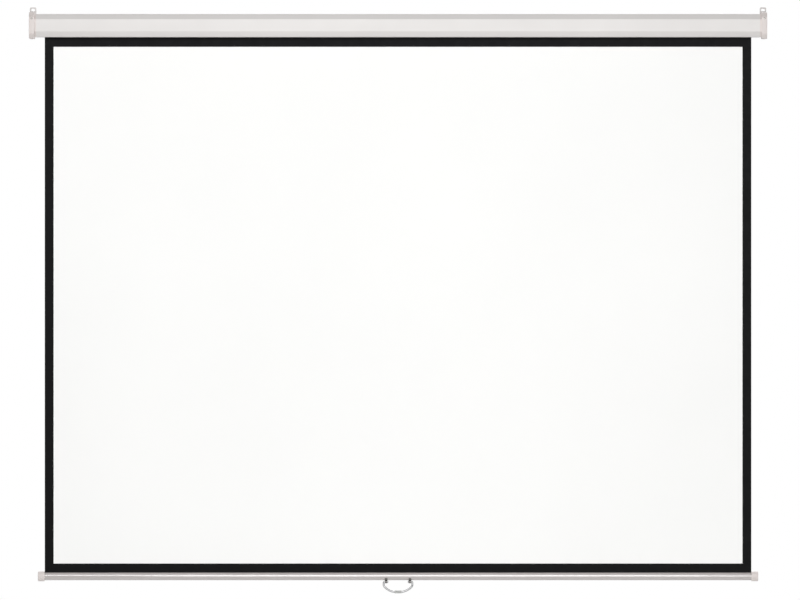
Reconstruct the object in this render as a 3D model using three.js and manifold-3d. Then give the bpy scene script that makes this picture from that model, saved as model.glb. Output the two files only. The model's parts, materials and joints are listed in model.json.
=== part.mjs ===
// Pull-down projector screen: a spring roller in a steel casing, a white screen with a black border,
// a weighted bottom bar and a wire pull handle. All lengths are in millimetres.
//
// The origin is the middle of the casing's flat back, on the wall. X runs along the casing to the
// viewer's right, Y runs into the wall and Z runs up. The screen is modelled fully pulled down.
// Pieces at either end are drawn for the right-hand end and mirrored for the left-hand one.

import * as THREE from 'three';
import { mergeVertices } from 'three/addons/utils/BufferGeometryUtils.js';
import Module from 'manifold-3d';

const wasm = await Module();
wasm.setup();

// Clearances, shared by the whole assembly
const SEAT_GAP = 0.3; // between a piece and what it is seated on or in
const AXIAL_GAP = 0.3; // along an axle, beside a piece that turns
const OVERRUN = 4; // how far a cutting shape runs past the face that it cuts
const MERGE_DISTANCE = 1e-4; // vertices closer than this are one

// The screen itself
const VIEW_WIDTH = 2032; // white viewing area, 4:3, a 100 inch diagonal
const VIEW_HEIGHT = 1524;
const BORDER_SIDE = 26; // black border beside the viewing area
const BORDER_BOTTOM = 26;
const BORDER_TOP = 28; // the part of the black leader that shows under the casing
const FABRIC_THICKNESS = 0.45;
const BORDER_THICKNESS = 0.2; // the black coat on the front of the fabric
const FABRIC_SETBACK = 18; // from the wall to the middle of the hanging fabric

// Casing: a roll-formed octagonal channel, open along a slot underneath
const CASING_HEIGHT = 68;
const CASING_DEPTH = 72;
const FRONT_CHAMFER = 16;
const BACK_CHAMFER = 6;
const CASING_WALL = 1.2;
const SLOT_WIDTH = 18; // centred on the fabric
const LIP_HEIGHT = 6; // turned-in edge along each side of the slot
const CASING_REACH = 24; // from the fabric's edge to the end of the casing

// End caps
const NECK_LENGTH = 5; // shadow groove between the casing and the cap's block
const NECK_INSET = 0.6;
const BLOCK_LENGTH = 16;
const BLOCK_OUTSET = 5; // how far the block stands out past the casing in front, above and below
const BLOCK_CHAMFER = 15;
const SPIGOT_LENGTH = 14; // the part of the cap that plugs into the casing
const SPIGOT_WALL = 2.5;
const CAP_BACK_WALL = 10.5; // solid back of the cap, which takes the bracket's screws
const CAP_END_WALL = 4;
const BOSS_RADIUS = 11; // round boss that holds the shaft or the bush
const BOSS_LENGTH = 23;

// Hanging brackets: flat steel plates let into the back of the caps
const PLATE_THICKNESS = 2;
const PLATE_WIDTH = 19;
const PLATE_EDGE = 0.5; // from the cap's outer end to the plate
const PLATE_RISE = 21; // how far the ear stands above the casing
const PLATE_DROP = 28; // how far the plate reaches below the casing's middle
const PLATE_CORNER = 4;
const EAR_HOLE_LENGTH = 12;
const EAR_HOLE_HEIGHT = 7;
const EAR_HOLE_BELOW_TOP = 8; // from the ear's top edge to the middle of its hole
const PLATE_SCREW_HEIGHTS = [-15, 22]; // above and below the casing's middle

// Screws
const SCREW_SHANK_RADIUS = 1.6;
const SCREW_LENGTH = 8;
const SCREW_HEAD_RADIUS = 3.2;
const SCREW_HEAD_HEIGHT = 1.8;
const COUNTERSINK_HEIGHT = 1.4;
const CAP_SCREW_HEIGHT = 21; // above the casing's middle, on the cap's flat front

// Roller
const ROLLER_RADIUS = 18;
const ROLLER_WALL = 1.2;
const ROLLER_REACH = 4; // from the fabric's edge to the end of the tube
const ROLLER_HEIGHT = 2; // roller axis above the casing's middle
const DEAD_WRAPS = 2; // turns of fabric left on the roller when it is fully pulled down
const WRAP_PITCH = 0.9;
const PLUG_FLANGE = 5;
const PLUG_DEPTH = 25;
const GUDGEON_RADIUS = 4;
const GUDGEON_LENGTH = 54;
const BUSH_WALL = 2.7;
const BUSH_FLANGE_RADIUS = 9;
const BUSH_FLANGE_LENGTH = 1.5;
const BUSH_LENGTH = 20;

// Spring motor inside the left-hand end of the roller
const SHAFT_RADIUS = 5;
const SHAFT_LENGTH = 280; // round part of the fixed shaft
const TONGUE_WIDTH = 10; // flat end of the shaft, held in the cap's boss
const TONGUE_HEIGHT = 5;
const TONGUE_LENGTH = 20.5;
const ANCHOR_LENGTH = 12; // disc on the shaft's inner end that the spring hooks into
const ANCHOR_INSET = 4;
const SPRING_WIRE_RADIUS = 1.3;
const SPRING_RADIUS = 7.4; // to the middle of the wire
const SPRING_CURLS = 22;
const SPRING_END_GAP = 4; // from the spring to the plug and to the anchor

// Ratchet and pawls
const WHEEL_RADIUS = 10;
const WHEEL_NOTCHES = 4;
const PAWL_THICKNESS = 3;
const PAWL_PIVOT_RADIUS = 15; // from the roller's axis to each pawl's pivot
const PAWL_LENGTH = 9; // from the pivot to the middle of the nose
const PAWL_EYE_RADIUS = 2.8;
const PAWL_NOSE_RADIUS = 0.8;
const PAWL_LIFT = 0.5; // from the lifted nose to the ratchet wheel
const PAWL_SWING = THREE.MathUtils.degToRad(15);
const PAWL_SWING_STEPS = 4; // places of the nose that shape each notch
const PIVOT_RADIUS = 1.5;
const PIVOT_DEPTH = 4;
const PIVOT_HEAD_HEIGHT = 1.2;

// Bottom bar
const BAR_RADIUS = 11.75;
const BAR_WALL = 1.4;
const BAR_SLOT = 3.2;
const BAR_REACH = 20; // from the fabric's edge to the end of the bar's cap
const BAR_CAP_RADIUS = 14.5;
const BAR_CAP_END_WALL = 3;
const BAR_CAP_ROUND = 2;
const HEM_ROD_RADIUS = 2.5;
const HEM_ROD_REACH = 6; // how far the rod stands out past the hem at each end

// Pull handle
const HANDLE_WIDTH = 90; // over the wire
const HANDLE_DROP = 38.6; // from the underside of the bar to the underside of the grip
const HANDLE_WIRE_RADIUS = 2.75;
const HANDLE_LEG = 10; // from the pivot down to where the legs start to turn in
const GRIP_LENGTH = 21;
const GRIP_RADIUS = 4.3;
const CLIP_WIDTH = 7; // each clip is a strap round the underside of the bar, with a knuckle below
const CLIP_INSET = 10; // from the outside of the handle's wire in to the middle of each clip
const CLIP_THICKNESS = 1.2;
const CLIP_HALF_ANGLE = THREE.MathUtils.degToRad(66);
const KNUCKLE_WALL = 1.2;
const CLIP_SCREW_LEAN = THREE.MathUtils.degToRad(48); // from straight below the bar towards the wall

// Where the bends of one half of the handle lie: across as shares of its half width, down as
// shares of the way from the end of the leg to the grip.
const LOWER_BEND_SHARES = [[1, 0.3], [0.6, 0.93]];
const ROUND_BEND_SHARE = 0.5523; // of the radius, from each end of a quarter turn to its control point

// How finely round shapes are divided
const ROLLER_SIDES = 32;
const BAR_SIDES = 36;
const AXLE_SIDES = 24;
const SCREW_SIDES = 16;
const CORNER_STEPS = 4;
const NOSE_STEPS = 6;
const SPRING_SIDES = 5;
const SPRING_STEPS_PER_CURL = 8;
const HANDLE_SIDES = 10;
const HANDLE_STEPS = 90;

// Places worked out from the sizes above
const CASING_TOP = CASING_HEIGHT / 2;
const CASING_BOTTOM = -CASING_TOP;
const FABRIC_Y = -FABRIC_SETBACK;
const FABRIC_FRONT = FABRIC_Y - FABRIC_THICKNESS / 2;
const FABRIC_EDGE = VIEW_WIDTH / 2 + BORDER_SIDE;
const CASING_END = FABRIC_EDGE + CASING_REACH;
const NECK_END = CASING_END + NECK_LENGTH;
const CAP_END = NECK_END + BLOCK_LENGTH;
const SPIGOT_START = CASING_END - SPIGOT_LENGTH;
const BOSS_START = CAP_END - CAP_END_WALL - BOSS_LENGTH;
const BLOCK_FRONT = -CASING_DEPTH - BLOCK_OUTSET;
const PLATE_OUTER = CAP_END - PLATE_EDGE;
const PLATE_MIDDLE = PLATE_OUTER - PLATE_WIDTH / 2;
const EAR_TOP = CASING_TOP + PLATE_RISE;
const ROLLER_END = FABRIC_EDGE + ROLLER_REACH;
const ROLLER_BORE = ROLLER_RADIUS - ROLLER_WALL;
const FIRST_WRAP_RADIUS = ROLLER_RADIUS + SEAT_GAP + FABRIC_THICKNESS / 2;
const TANGENT_RADIUS = FIRST_WRAP_RADIUS + DEAD_WRAPS * WRAP_PITCH;
const ROLLER_Y = FABRIC_Y - TANGENT_RADIUS;
const PLUG_OUTER = ROLLER_END + PLUG_FLANGE;
const PAWL_START = PLUG_OUTER + AXIAL_GAP;
const PAWL_END = PAWL_START + PAWL_THICKNESS;
const SHAFT_OUTER = BOSS_START - SEAT_GAP;
const SHAFT_INNER = SHAFT_OUTER - SHAFT_LENGTH;
const SHAFT_BORE = SHAFT_RADIUS + SEAT_GAP;
const ANCHOR_START = SHAFT_INNER + ANCHOR_INSET;
const VIEW_TOP = CASING_BOTTOM - BORDER_TOP;
const VIEW_BOTTOM = VIEW_TOP - VIEW_HEIGHT;
const BAR_TOP = VIEW_BOTTOM - BORDER_BOTTOM;
const BAR_Z = BAR_TOP - BAR_RADIUS;
const BAR_BORE = BAR_RADIUS - BAR_WALL;
const BAR_END = FABRIC_EDGE + BAR_REACH;
const BAR_TUBE_END = BAR_END - BAR_CAP_END_WALL - SEAT_GAP;
const BAR_CAP_START = FABRIC_EDGE + SEAT_GAP;
const HEM_INNER = HEM_ROD_RADIUS + SEAT_GAP;
const HEM_OUTER = HEM_INNER + FABRIC_THICKNESS;
const HEM_RISE = BAR_BORE - SEAT_GAP - HEM_OUTER; // hem's middle above the bar's middle
const CLIP_INNER = BAR_RADIUS + SEAT_GAP;
const CLIP_OUTER = CLIP_INNER + CLIP_THICKNESS;
const CLIP_OFFSET = HANDLE_WIDTH / 2 - CLIP_INSET; // the middle of each clip
const CLIP_START = CLIP_OFFSET - CLIP_WIDTH / 2;
const CLIP_END = CLIP_OFFSET + CLIP_WIDTH / 2;
const KNUCKLE_BORE = HANDLE_WIRE_RADIUS + SEAT_GAP;
const PIVOT_DROP = CLIP_OUTER + KNUCKLE_BORE; // handle pivot below the bar's middle
const GRIP_DROP = BAR_RADIUS + HANDLE_DROP - GRIP_RADIUS - PIVOT_DROP; // wire below the pivot

// Turn a geometry into one closed body whose faces point out
function closedBody(geometry) {
  geometry.deleteAttribute('normal');
  geometry.deleteAttribute('uv');
  const merged = mergeVertices(geometry, MERGE_DISTANCE);
  const corners = merged.index.array;
  const kept = [];
  for (let i = 0; i < corners.length; i += 3) {
    const [a, b, c] = corners.slice(i, i + 3);
    if (a !== b && b !== c && c !== a) kept.push(a, b, c);
  }
  if (signedVolume(merged, kept) < 0) kept.reverse();
  merged.setIndex(kept);
  return merged;
}

function signedVolume(geometry, corners) {
  const place = geometry.getAttribute('position');
  const [a, b, c] = [new THREE.Vector3(), new THREE.Vector3(), new THREE.Vector3()];
  let sixfold = 0;
  for (let i = 0; i < corners.length; i += 3) {
    a.fromBufferAttribute(place, corners[i]);
    b.fromBufferAttribute(place, corners[i + 1]);
    c.fromBufferAttribute(place, corners[i + 2]);
    sixfold += a.dot(b.cross(c));
  }
  return sixfold / 6;
}

function toSolid(geometry) {
  return new wasm.Manifold(new wasm.Mesh({
    numProp: 3,
    vertProperties: Float32Array.from(geometry.getAttribute('position').array),
    triVerts: Uint32Array.from(geometry.index.array),
  }));
}

function fromSolid(solid) {
  const mesh = solid.getMesh();
  const geometry = new THREE.BufferGeometry();
  geometry.setAttribute('position', new THREE.BufferAttribute(mesh.vertProperties, mesh.numProp));
  geometry.setIndex(new THREE.BufferAttribute(mesh.triVerts, 1));
  return geometry;
}

function join(first, ...others) {
  return fromSolid(others.reduce((sum, other) => sum.add(toSolid(other)), toSolid(first)));
}

function cut(first, ...tools) {
  return fromSolid(tools.reduce((rest, tool) => rest.subtract(toSolid(tool)), toSolid(first)));
}

function mirrored(geometry) {
  return closedBody(geometry.clone().scale(-1, 1, 1));
}

function flatShape(outline, holes) {
  const shape = new THREE.Shape(outline.map(([u, v]) => new THREE.Vector2(u, v)));
  for (const hole of holes) {
    shape.holes.push(new THREE.Path(hole.map(([u, v]) => new THREE.Vector2(u, v))));
  }
  return shape;
}

// An outline of [y, z] points, carried along X from start to end
function alongX(outline, start, end, holes = []) {
  const depth = end - start;
  const geometry = new THREE.ExtrudeGeometry(flatShape(outline, holes), { depth, bevelEnabled: false });
  const turn = new THREE.Matrix4().makeBasis(
    new THREE.Vector3(0, 1, 0), new THREE.Vector3(0, 0, 1), new THREE.Vector3(1, 0, 0));
  return closedBody(geometry.applyMatrix4(turn).translate(start, 0, 0));
}

// An outline of [x, z] points, carried along Y from front to back
function alongY(outline, front, back, holes = []) {
  const depth = back - front;
  const geometry = new THREE.ExtrudeGeometry(flatShape(outline, holes), { depth, bevelEnabled: false });
  return closedBody(geometry.rotateX(Math.PI / 2).translate(0, back, 0));
}

// A profile of [radius, x] points, turned about the X axis
function turnedAboutX(profile, sides) {
  const points = profile.map(([radius, x]) => new THREE.Vector2(radius, x));
  const geometry = new THREE.LatheGeometry(points, sides);
  const turn = new THREE.Matrix4().makeBasis(
    new THREE.Vector3(0, 1, 0), new THREE.Vector3(1, 0, 0), new THREE.Vector3(0, 0, -1));
  return closedBody(geometry.applyMatrix4(turn));
}

// A profile of [radius, y] points, turned about the Y axis
function turnedAboutY(profile, sides) {
  const points = profile.map(([radius, y]) => new THREE.Vector2(radius, y));
  return closedBody(new THREE.LatheGeometry(points, sides));
}

// A profile of [radius, z] points, turned about the Z axis
function turnedAboutZ(profile, sides) {
  const points = profile.map(([radius, z]) => new THREE.Vector2(radius, z));
  return closedBody(new THREE.LatheGeometry(points, sides).rotateX(Math.PI / 2));
}

function ringProfile(inner, outer, start, end) {
  return [[inner, start], [outer, start], [outer, end], [inner, end], [inner, start]];
}

function rodProfile(radius, start, end) {
  return [[0, start], [radius, start], [radius, end], [0, end]];
}

// Points along a round arc, both ends included
function arc(u, v, radius, from, to, steps) {
  return Array.from({ length: steps + 1 }, (_, i) => {
    const angle = from + ((to - from) * i) / steps;
    return [u + radius * Math.cos(angle), v + radius * Math.sin(angle)];
  });
}

function circle(u, v, radius, sides) {
  return arc(u, v, radius, 0, 2 * Math.PI, sides).slice(0, sides);
}

function rectangle(left, right, bottom, top) {
  return [[left, bottom], [right, bottom], [right, top], [left, top]];
}

function box(left, right, front, back, bottom, top) {
  return alongX(rectangle(front, back, bottom, top), left, right);
}

// Eight corners of the casing's section, drawn in from its outside by an inset on every side.
// A chamfer at 45 degrees shortens by this share of the inset.
const CHAMFER_SHORTENING_SHARE = 2 - Math.SQRT2;

function octagon({ front, back, bottom, top, frontChamfer, backChamfer }) {
  return [
    [front + frontChamfer, bottom], [front, bottom + frontChamfer],
    [front, top - frontChamfer], [front + frontChamfer, top],
    [back - backChamfer, top], [back, top - backChamfer],
    [back, bottom + backChamfer], [back - backChamfer, bottom],
  ];
}

function casingSection(inset, backInset = inset) {
  return {
    front: inset - CASING_DEPTH,
    back: -backInset,
    bottom: CASING_BOTTOM + inset,
    top: CASING_TOP - inset,
    frontChamfer: FRONT_CHAMFER - inset * CHAMFER_SHORTENING_SHARE,
    backChamfer: BACK_CHAMFER - inset * CHAMFER_SHORTENING_SHARE,
  };
}

function casingShell() {
  const slotFront = FABRIC_Y - SLOT_WIDTH / 2;
  const slotBack = FABRIC_Y + SLOT_WIDTH / 2;
  const lipTop = CASING_BOTTOM + LIP_HEIGHT;
  const floor = CASING_BOTTOM + CASING_WALL;
  const outer = octagon(casingSection(0));
  const inner = octagon(casingSection(CASING_WALL)).reverse();
  return alongX([
    [slotFront, CASING_BOTTOM], ...outer, [slotBack, CASING_BOTTOM],
    [slotBack, lipTop], [slotBack + CASING_WALL, lipTop], [slotBack + CASING_WALL, floor],
    ...inner,
    [slotFront - CASING_WALL, floor], [slotFront - CASING_WALL, lipTop], [slotFront, lipTop],
  ], -CASING_END, CASING_END);
}

// The round hole for a screw's shank, which enters along Y from a face at this height
function screwHole(x, z, face, into) {
  const far = face + into * (SCREW_LENGTH + SEAT_GAP);
  const near = face - into * OVERRUN;
  const profile = rodProfile(SCREW_SHANK_RADIUS + SEAT_GAP, Math.min(near, far), Math.max(near, far));
  return turnedAboutY(profile, SCREW_SIDES).translate(x, 0, z);
}

function capBody() {
  const block = octagon({
    front: BLOCK_FRONT,
    back: 0,
    bottom: CASING_BOTTOM - BLOCK_OUTSET,
    top: CASING_TOP + BLOCK_OUTSET,
    frontChamfer: BLOCK_CHAMFER,
    backChamfer: BACK_CHAMFER,
  });
  const neck = octagon(casingSection(NECK_INSET));
  const spigotInset = CASING_WALL + SEAT_GAP;
  const spigot = octagon(casingSection(spigotInset));
  const hollow = octagon(casingSection(spigotInset + SPIGOT_WALL, CAP_BACK_WALL));
  const lipRoom = CASING_WALL + SEAT_GAP + SLOT_WIDTH / 2;
  const lips = box(
    SPIGOT_START - OVERRUN, CASING_END,
    FABRIC_Y - lipRoom, FABRIC_Y + lipRoom,
    CASING_BOTTOM - OVERRUN, CASING_BOTTOM + LIP_HEIGHT + SEAT_GAP);
  const shell = join(
    alongX(block, NECK_END, CAP_END),
    alongX(neck, CASING_END, NECK_END),
    alongX(spigot, SPIGOT_START, CASING_END));
  const hollowed = cut(shell, alongX(hollow, SPIGOT_START - OVERRUN, CAP_END - CAP_END_WALL), lips);
  const boss = turnedAboutX(rodProfile(BOSS_RADIUS, BOSS_START, CAP_END - CAP_END_WALL / 2), AXLE_SIDES);
  return join(hollowed, boss.translate(0, ROLLER_Y, ROLLER_HEIGHT));
}

// Pockets that every cap has: the bracket's seat, its screws' holes and the front screw's hole
function capPockets() {
  const seat = box(
    PLATE_OUTER - PLATE_WIDTH - SEAT_GAP, PLATE_OUTER + SEAT_GAP,
    -PLATE_THICKNESS - SEAT_GAP, OVERRUN,
    -PLATE_DROP - SEAT_GAP, CASING_TOP + BLOCK_OUTSET + OVERRUN);
  const plateHoles = PLATE_SCREW_HEIGHTS.map((z) => screwHole(PLATE_MIDDLE, z, 0, -1));
  return [seat, ...plateHoles, screwHole(CAP_END - BLOCK_LENGTH / 2, CAP_SCREW_HEIGHT, BLOCK_FRONT, 1)];
}

// The left-hand cap holds the flat tongue of the fixed shaft, so it can't turn
function shaftCap() {
  const socket = alongX(
    rectangle(
      ROLLER_Y - TONGUE_WIDTH / 2 - SEAT_GAP, ROLLER_Y + TONGUE_WIDTH / 2 + SEAT_GAP,
      ROLLER_HEIGHT - TONGUE_HEIGHT / 2 - SEAT_GAP, ROLLER_HEIGHT + TONGUE_HEIGHT / 2 + SEAT_GAP),
    BOSS_START - OVERRUN, SHAFT_OUTER + TONGUE_LENGTH + SEAT_GAP);
  return mirrored(cut(capBody(), ...capPockets(), socket));
}

// The right-hand cap holds the bush that the roller's pin turns in
function bushCap() {
  const bore = turnedAboutX(
    rodProfile(bushRadius() + SEAT_GAP, BOSS_START - OVERRUN, BOSS_START + BUSH_LENGTH + SEAT_GAP),
    AXLE_SIDES);
  return cut(capBody(), ...capPockets(), bore.translate(0, ROLLER_Y, ROLLER_HEIGHT));
}

function bushRadius() {
  return GUDGEON_RADIUS + SEAT_GAP + BUSH_WALL;
}

function hangingBracket() {
  const left = PLATE_OUTER - PLATE_WIDTH;
  const round = EAR_TOP - PLATE_CORNER;
  const outline = [
    [left, -PLATE_DROP], [PLATE_OUTER, -PLATE_DROP],
    ...arc(PLATE_OUTER - PLATE_CORNER, round, PLATE_CORNER, 0, Math.PI / 2, CORNER_STEPS),
    ...arc(left + PLATE_CORNER, round, PLATE_CORNER, Math.PI / 2, Math.PI, CORNER_STEPS),
  ];
  const holeZ = EAR_TOP - EAR_HOLE_BELOW_TOP;
  const holeRadius = EAR_HOLE_HEIGHT / 2;
  const holeHalf = EAR_HOLE_LENGTH / 2 - holeRadius;
  const hole = [
    ...arc(PLATE_MIDDLE + holeHalf, holeZ, holeRadius, -Math.PI / 2, Math.PI / 2, 2 * CORNER_STEPS),
    ...arc(PLATE_MIDDLE - holeHalf, holeZ, holeRadius, Math.PI / 2, 1.5 * Math.PI, 2 * CORNER_STEPS),
  ];
  const countersinks = PLATE_SCREW_HEIGHTS.map((z) => {
    const wide = SCREW_HEAD_RADIUS + SEAT_GAP;
    const narrow = SCREW_SHANK_RADIUS + SEAT_GAP;
    const neck = -SEAT_GAP - COUNTERSINK_HEIGHT;
    const profile = [
      [0, -PLATE_THICKNESS - OVERRUN], [narrow, -PLATE_THICKNESS - OVERRUN],
      [narrow, neck], [wide, -SEAT_GAP], [wide, OVERRUN], [0, OVERRUN],
    ];
    return turnedAboutY(profile, SCREW_SIDES).translate(PLATE_MIDDLE, 0, z);
  });
  return cut(alongY(outline, -PLATE_THICKNESS, 0, [hole]), ...countersinks);
}

// Countersunk screw, its head just under the plate's back face
function bracketScrew(height) {
  const head = -SEAT_GAP;
  const profile = [
    [0, head - SCREW_LENGTH + SEAT_GAP], [SCREW_SHANK_RADIUS, head - SCREW_LENGTH + SEAT_GAP],
    [SCREW_SHANK_RADIUS, head - COUNTERSINK_HEIGHT], [SCREW_HEAD_RADIUS, head], [0, head],
  ];
  return turnedAboutY(profile, SCREW_SIDES).translate(PLATE_MIDDLE, 0, height);
}

// Profile of a pan-headed screw that enters a face at this height, its shank running up from there
function panScrewProfile(face) {
  const seat = face - SEAT_GAP;
  const crown = seat - SCREW_HEAD_HEIGHT;
  return [
    [0, crown], [SCREW_HEAD_RADIUS / 2, crown], [SCREW_HEAD_RADIUS, seat - SCREW_HEAD_HEIGHT / 2],
    [SCREW_HEAD_RADIUS, seat], [SCREW_SHANK_RADIUS, seat],
    [SCREW_SHANK_RADIUS, seat + SCREW_LENGTH], [0, seat + SCREW_LENGTH],
  ];
}

// Screw in the front of the cap
function capScrew() {
  const screw = turnedAboutY(panScrewProfile(BLOCK_FRONT), SCREW_SIDES);
  return screw.translate(CAP_END - BLOCK_LENGTH / 2, 0, CAP_SCREW_HEIGHT);
}

function rollerTube() {
  return turnedAboutX(ringProfile(ROLLER_BORE, ROLLER_RADIUS, -ROLLER_END, ROLLER_END), ROLLER_SIDES);
}

// A plug closes each end of the roller tube: a body inside it and a flange against its end
function rollerPlug(bore) {
  const body = ROLLER_BORE - SEAT_GAP;
  return turnedAboutX([
    [bore, ROLLER_END - PLUG_DEPTH], [body, ROLLER_END - PLUG_DEPTH], [body, ROLLER_END],
    [ROLLER_RADIUS, ROLLER_END], [ROLLER_RADIUS, PLUG_OUTER], [bore, PLUG_OUTER],
    [bore, ROLLER_END - PLUG_DEPTH],
  ], ROLLER_SIDES);
}

function pawlPlug() {
  const holes = [1, -1].map((side) => turnedAboutX(
    rodProfile(PIVOT_RADIUS + SEAT_GAP, PLUG_OUTER - PIVOT_DEPTH - SEAT_GAP, PLUG_OUTER + OVERRUN),
    SCREW_SIDES).translate(0, 0, side * PAWL_PIVOT_RADIUS));
  return mirrored(cut(rollerPlug(SHAFT_BORE), ...holes));
}

function gudgeonPin() {
  const end = BOSS_START + BUSH_LENGTH - SEAT_GAP;
  return turnedAboutX(rodProfile(GUDGEON_RADIUS, end - GUDGEON_LENGTH, end), AXLE_SIDES);
}

function gudgeonBush() {
  const bore = GUDGEON_RADIUS + SEAT_GAP;
  const flangeStart = BOSS_START - BUSH_FLANGE_LENGTH;
  return turnedAboutX([
    [bore, flangeStart], [BUSH_FLANGE_RADIUS, flangeStart], [BUSH_FLANGE_RADIUS, BOSS_START],
    [bushRadius(), BOSS_START], [bushRadius(), BOSS_START + BUSH_LENGTH],
    [bore, BOSS_START + BUSH_LENGTH], [bore, flangeStart],
  ], AXLE_SIDES);
}

// The turns of fabric that stay on the roller, spiralling in from where the sheet leaves its back
function fabricWraps() {
  const steps = DEAD_WRAPS * ROLLER_SIDES;
  const spiral = (offset) => Array.from({ length: steps + 1 }, (_, i) => {
    const angle = (i / ROLLER_SIDES) * 2 * Math.PI;
    const radius = TANGENT_RADIUS - (i / ROLLER_SIDES) * WRAP_PITCH + offset;
    return [radius * Math.cos(angle), radius * Math.sin(angle)];
  });
  const outline = [...spiral(FABRIC_THICKNESS / 2), ...spiral(-FABRIC_THICKNESS / 2).reverse()];
  return alongX(outline, -FABRIC_EDGE, FABRIC_EDGE);
}

// The fixed shaft: round inside the roller, with a flat tongue in the cap
function springShaft() {
  const round = turnedAboutX(rodProfile(SHAFT_RADIUS, SHAFT_INNER, SHAFT_OUTER), AXLE_SIDES);
  const tongue = box(
    SHAFT_OUTER - OVERRUN, SHAFT_OUTER + TONGUE_LENGTH,
    -TONGUE_WIDTH / 2, TONGUE_WIDTH / 2, -TONGUE_HEIGHT / 2, TONGUE_HEIGHT / 2);
  return mirrored(join(round, tongue));
}

function springAnchor() {
  const profile = ringProfile(
    SHAFT_BORE, ROLLER_BORE - SEAT_GAP, ANCHOR_START, ANCHOR_START + ANCHOR_LENGTH);
  return mirrored(turnedAboutX(profile, ROLLER_SIDES));
}

// A coil of round wire about the X axis, as one tube with flat ends
function torsionSpring() {
  const start = ANCHOR_START + ANCHOR_LENGTH + SPRING_END_GAP;
  const end = ROLLER_END - PLUG_DEPTH - SPRING_END_GAP;
  const steps = SPRING_CURLS * SPRING_STEPS_PER_CURL;
  const places = [];
  for (let i = 0; i <= steps; i += 1) {
    const angle = (i / SPRING_STEPS_PER_CURL) * 2 * Math.PI;
    const x = start + ((end - start) * i) / steps;
    for (let side = 0; side < SPRING_SIDES; side += 1) {
      const around = (side / SPRING_SIDES) * 2 * Math.PI;
      const radius = SPRING_RADIUS + SPRING_WIRE_RADIUS * Math.cos(around);
      places.push(
        x + SPRING_WIRE_RADIUS * Math.sin(around), radius * Math.cos(angle), radius * Math.sin(angle));
    }
  }
  return mirrored(closedBody(ringsToTube(places, steps, SPRING_SIDES)));
}

// Join rings of points into a tube, with a fan of triangles over each end
function ringsToTube(places, steps, sides) {
  const corners = [];
  for (let i = 0; i < steps; i += 1) {
    for (let side = 0; side < sides; side += 1) {
      const a = i * sides + side;
      const b = i * sides + ((side + 1) % sides);
      corners.push(a, b, a + sides, b, b + sides, a + sides);
    }
  }
  const last = steps * sides;
  for (let side = 1; side < sides - 1; side += 1) {
    corners.push(0, side + 1, side, last, last + side, last + side + 1);
  }
  const geometry = new THREE.BufferGeometry();
  geometry.setAttribute('position', new THREE.Float32BufferAttribute(places, 3));
  geometry.setIndex(corners);
  return geometry;
}

// The lifted pawl's nose, seen along the axis with its pivot straight above the roller's axis
function liftedNose() {
  const lifted = WHEEL_RADIUS + PAWL_NOSE_RADIUS + PAWL_LIFT;
  const z = (lifted ** 2 + PAWL_PIVOT_RADIUS ** 2 - PAWL_LENGTH ** 2) / (2 * PAWL_PIVOT_RADIUS);
  return [-Math.sqrt(lifted ** 2 - z ** 2), z];
}

// Outline of a pawl that has swung in by an angle, widened all round by a clearance
function pawlOutline(swing, widening) {
  const [noseY, noseZ] = liftedNose();
  const aim = Math.atan2(noseZ - PAWL_PIVOT_RADIUS, noseY) + swing;
  const eye = PAWL_EYE_RADIUS + widening;
  const nose = PAWL_NOSE_RADIUS + widening;
  const lean = Math.acos((eye - nose) / PAWL_LENGTH);
  const tipY = PAWL_LENGTH * Math.cos(aim);
  const tipZ = PAWL_PIVOT_RADIUS + PAWL_LENGTH * Math.sin(aim);
  return [
    ...arc(0, PAWL_PIVOT_RADIUS, eye, aim + lean, aim + 2 * Math.PI - lean, 2 * NOSE_STEPS),
    ...arc(tipY, tipZ, nose, aim - lean, aim + lean, NOSE_STEPS),
  ];
}

function pawl() {
  const eye = circle(0, PAWL_PIVOT_RADIUS, PIVOT_RADIUS + SEAT_GAP, SCREW_SIDES);
  return mirrored(alongX(pawlOutline(0, 0), PAWL_START, PAWL_END, [eye]));
}

function pawlPivot() {
  const neck = PAWL_END + AXIAL_GAP;
  const start = PLUG_OUTER - PIVOT_DEPTH;
  const geometry = turnedAboutX([
    [0, start], [PIVOT_RADIUS, start], [PIVOT_RADIUS, neck], [PAWL_EYE_RADIUS, neck],
    [PAWL_EYE_RADIUS, neck + PIVOT_HEAD_HEIGHT], [0, neck + PIVOT_HEAD_HEIGHT],
  ], SCREW_SIDES);
  return mirrored(geometry.translate(0, 0, PAWL_PIVOT_RADIUS));
}

// The fixed wheel, with a notch of the pawl's own shape at each quarter turn
function ratchetWheel() {
  const notches = [];
  for (let notch = 0; notch < WHEEL_NOTCHES; notch += 1) {
    for (let step = 1; step <= PAWL_SWING_STEPS; step += 1) {
      const outline = pawlOutline((PAWL_SWING * step) / PAWL_SWING_STEPS, SEAT_GAP);
      const tool = alongX(outline, PAWL_START - OVERRUN, PAWL_END + OVERRUN);
      notches.push(tool.rotateX((notch / WHEEL_NOTCHES) * 2 * Math.PI));
    }
  }
  const disc = turnedAboutX(ringProfile(SHAFT_BORE, WHEEL_RADIUS, PAWL_START, PAWL_END), ROLLER_SIDES);
  return mirrored(cut(disc, ...notches));
}

// The sheet, with a hem at its foot that the rod runs through
function screenFabric() {
  const front = FABRIC_FRONT;
  const back = FABRIC_FRONT + FABRIC_THICKNESS;
  const hemZ = BAR_Z + HEM_RISE;
  const lean = Math.asin(FABRIC_THICKNESS / 2 / HEM_OUTER);
  const top = ROLLER_HEIGHT - SEAT_GAP;
  const outline = [
    [back, top], [front, top],
    ...arc(FABRIC_Y, hemZ, HEM_OUTER, Math.PI / 2 + lean, 2.5 * Math.PI - lean, AXLE_SIDES),
  ];
  const bore = circle(FABRIC_Y, hemZ, HEM_INNER, AXLE_SIDES);
  return alongX(outline, -FABRIC_EDGE, FABRIC_EDGE, [bore]);
}

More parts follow.
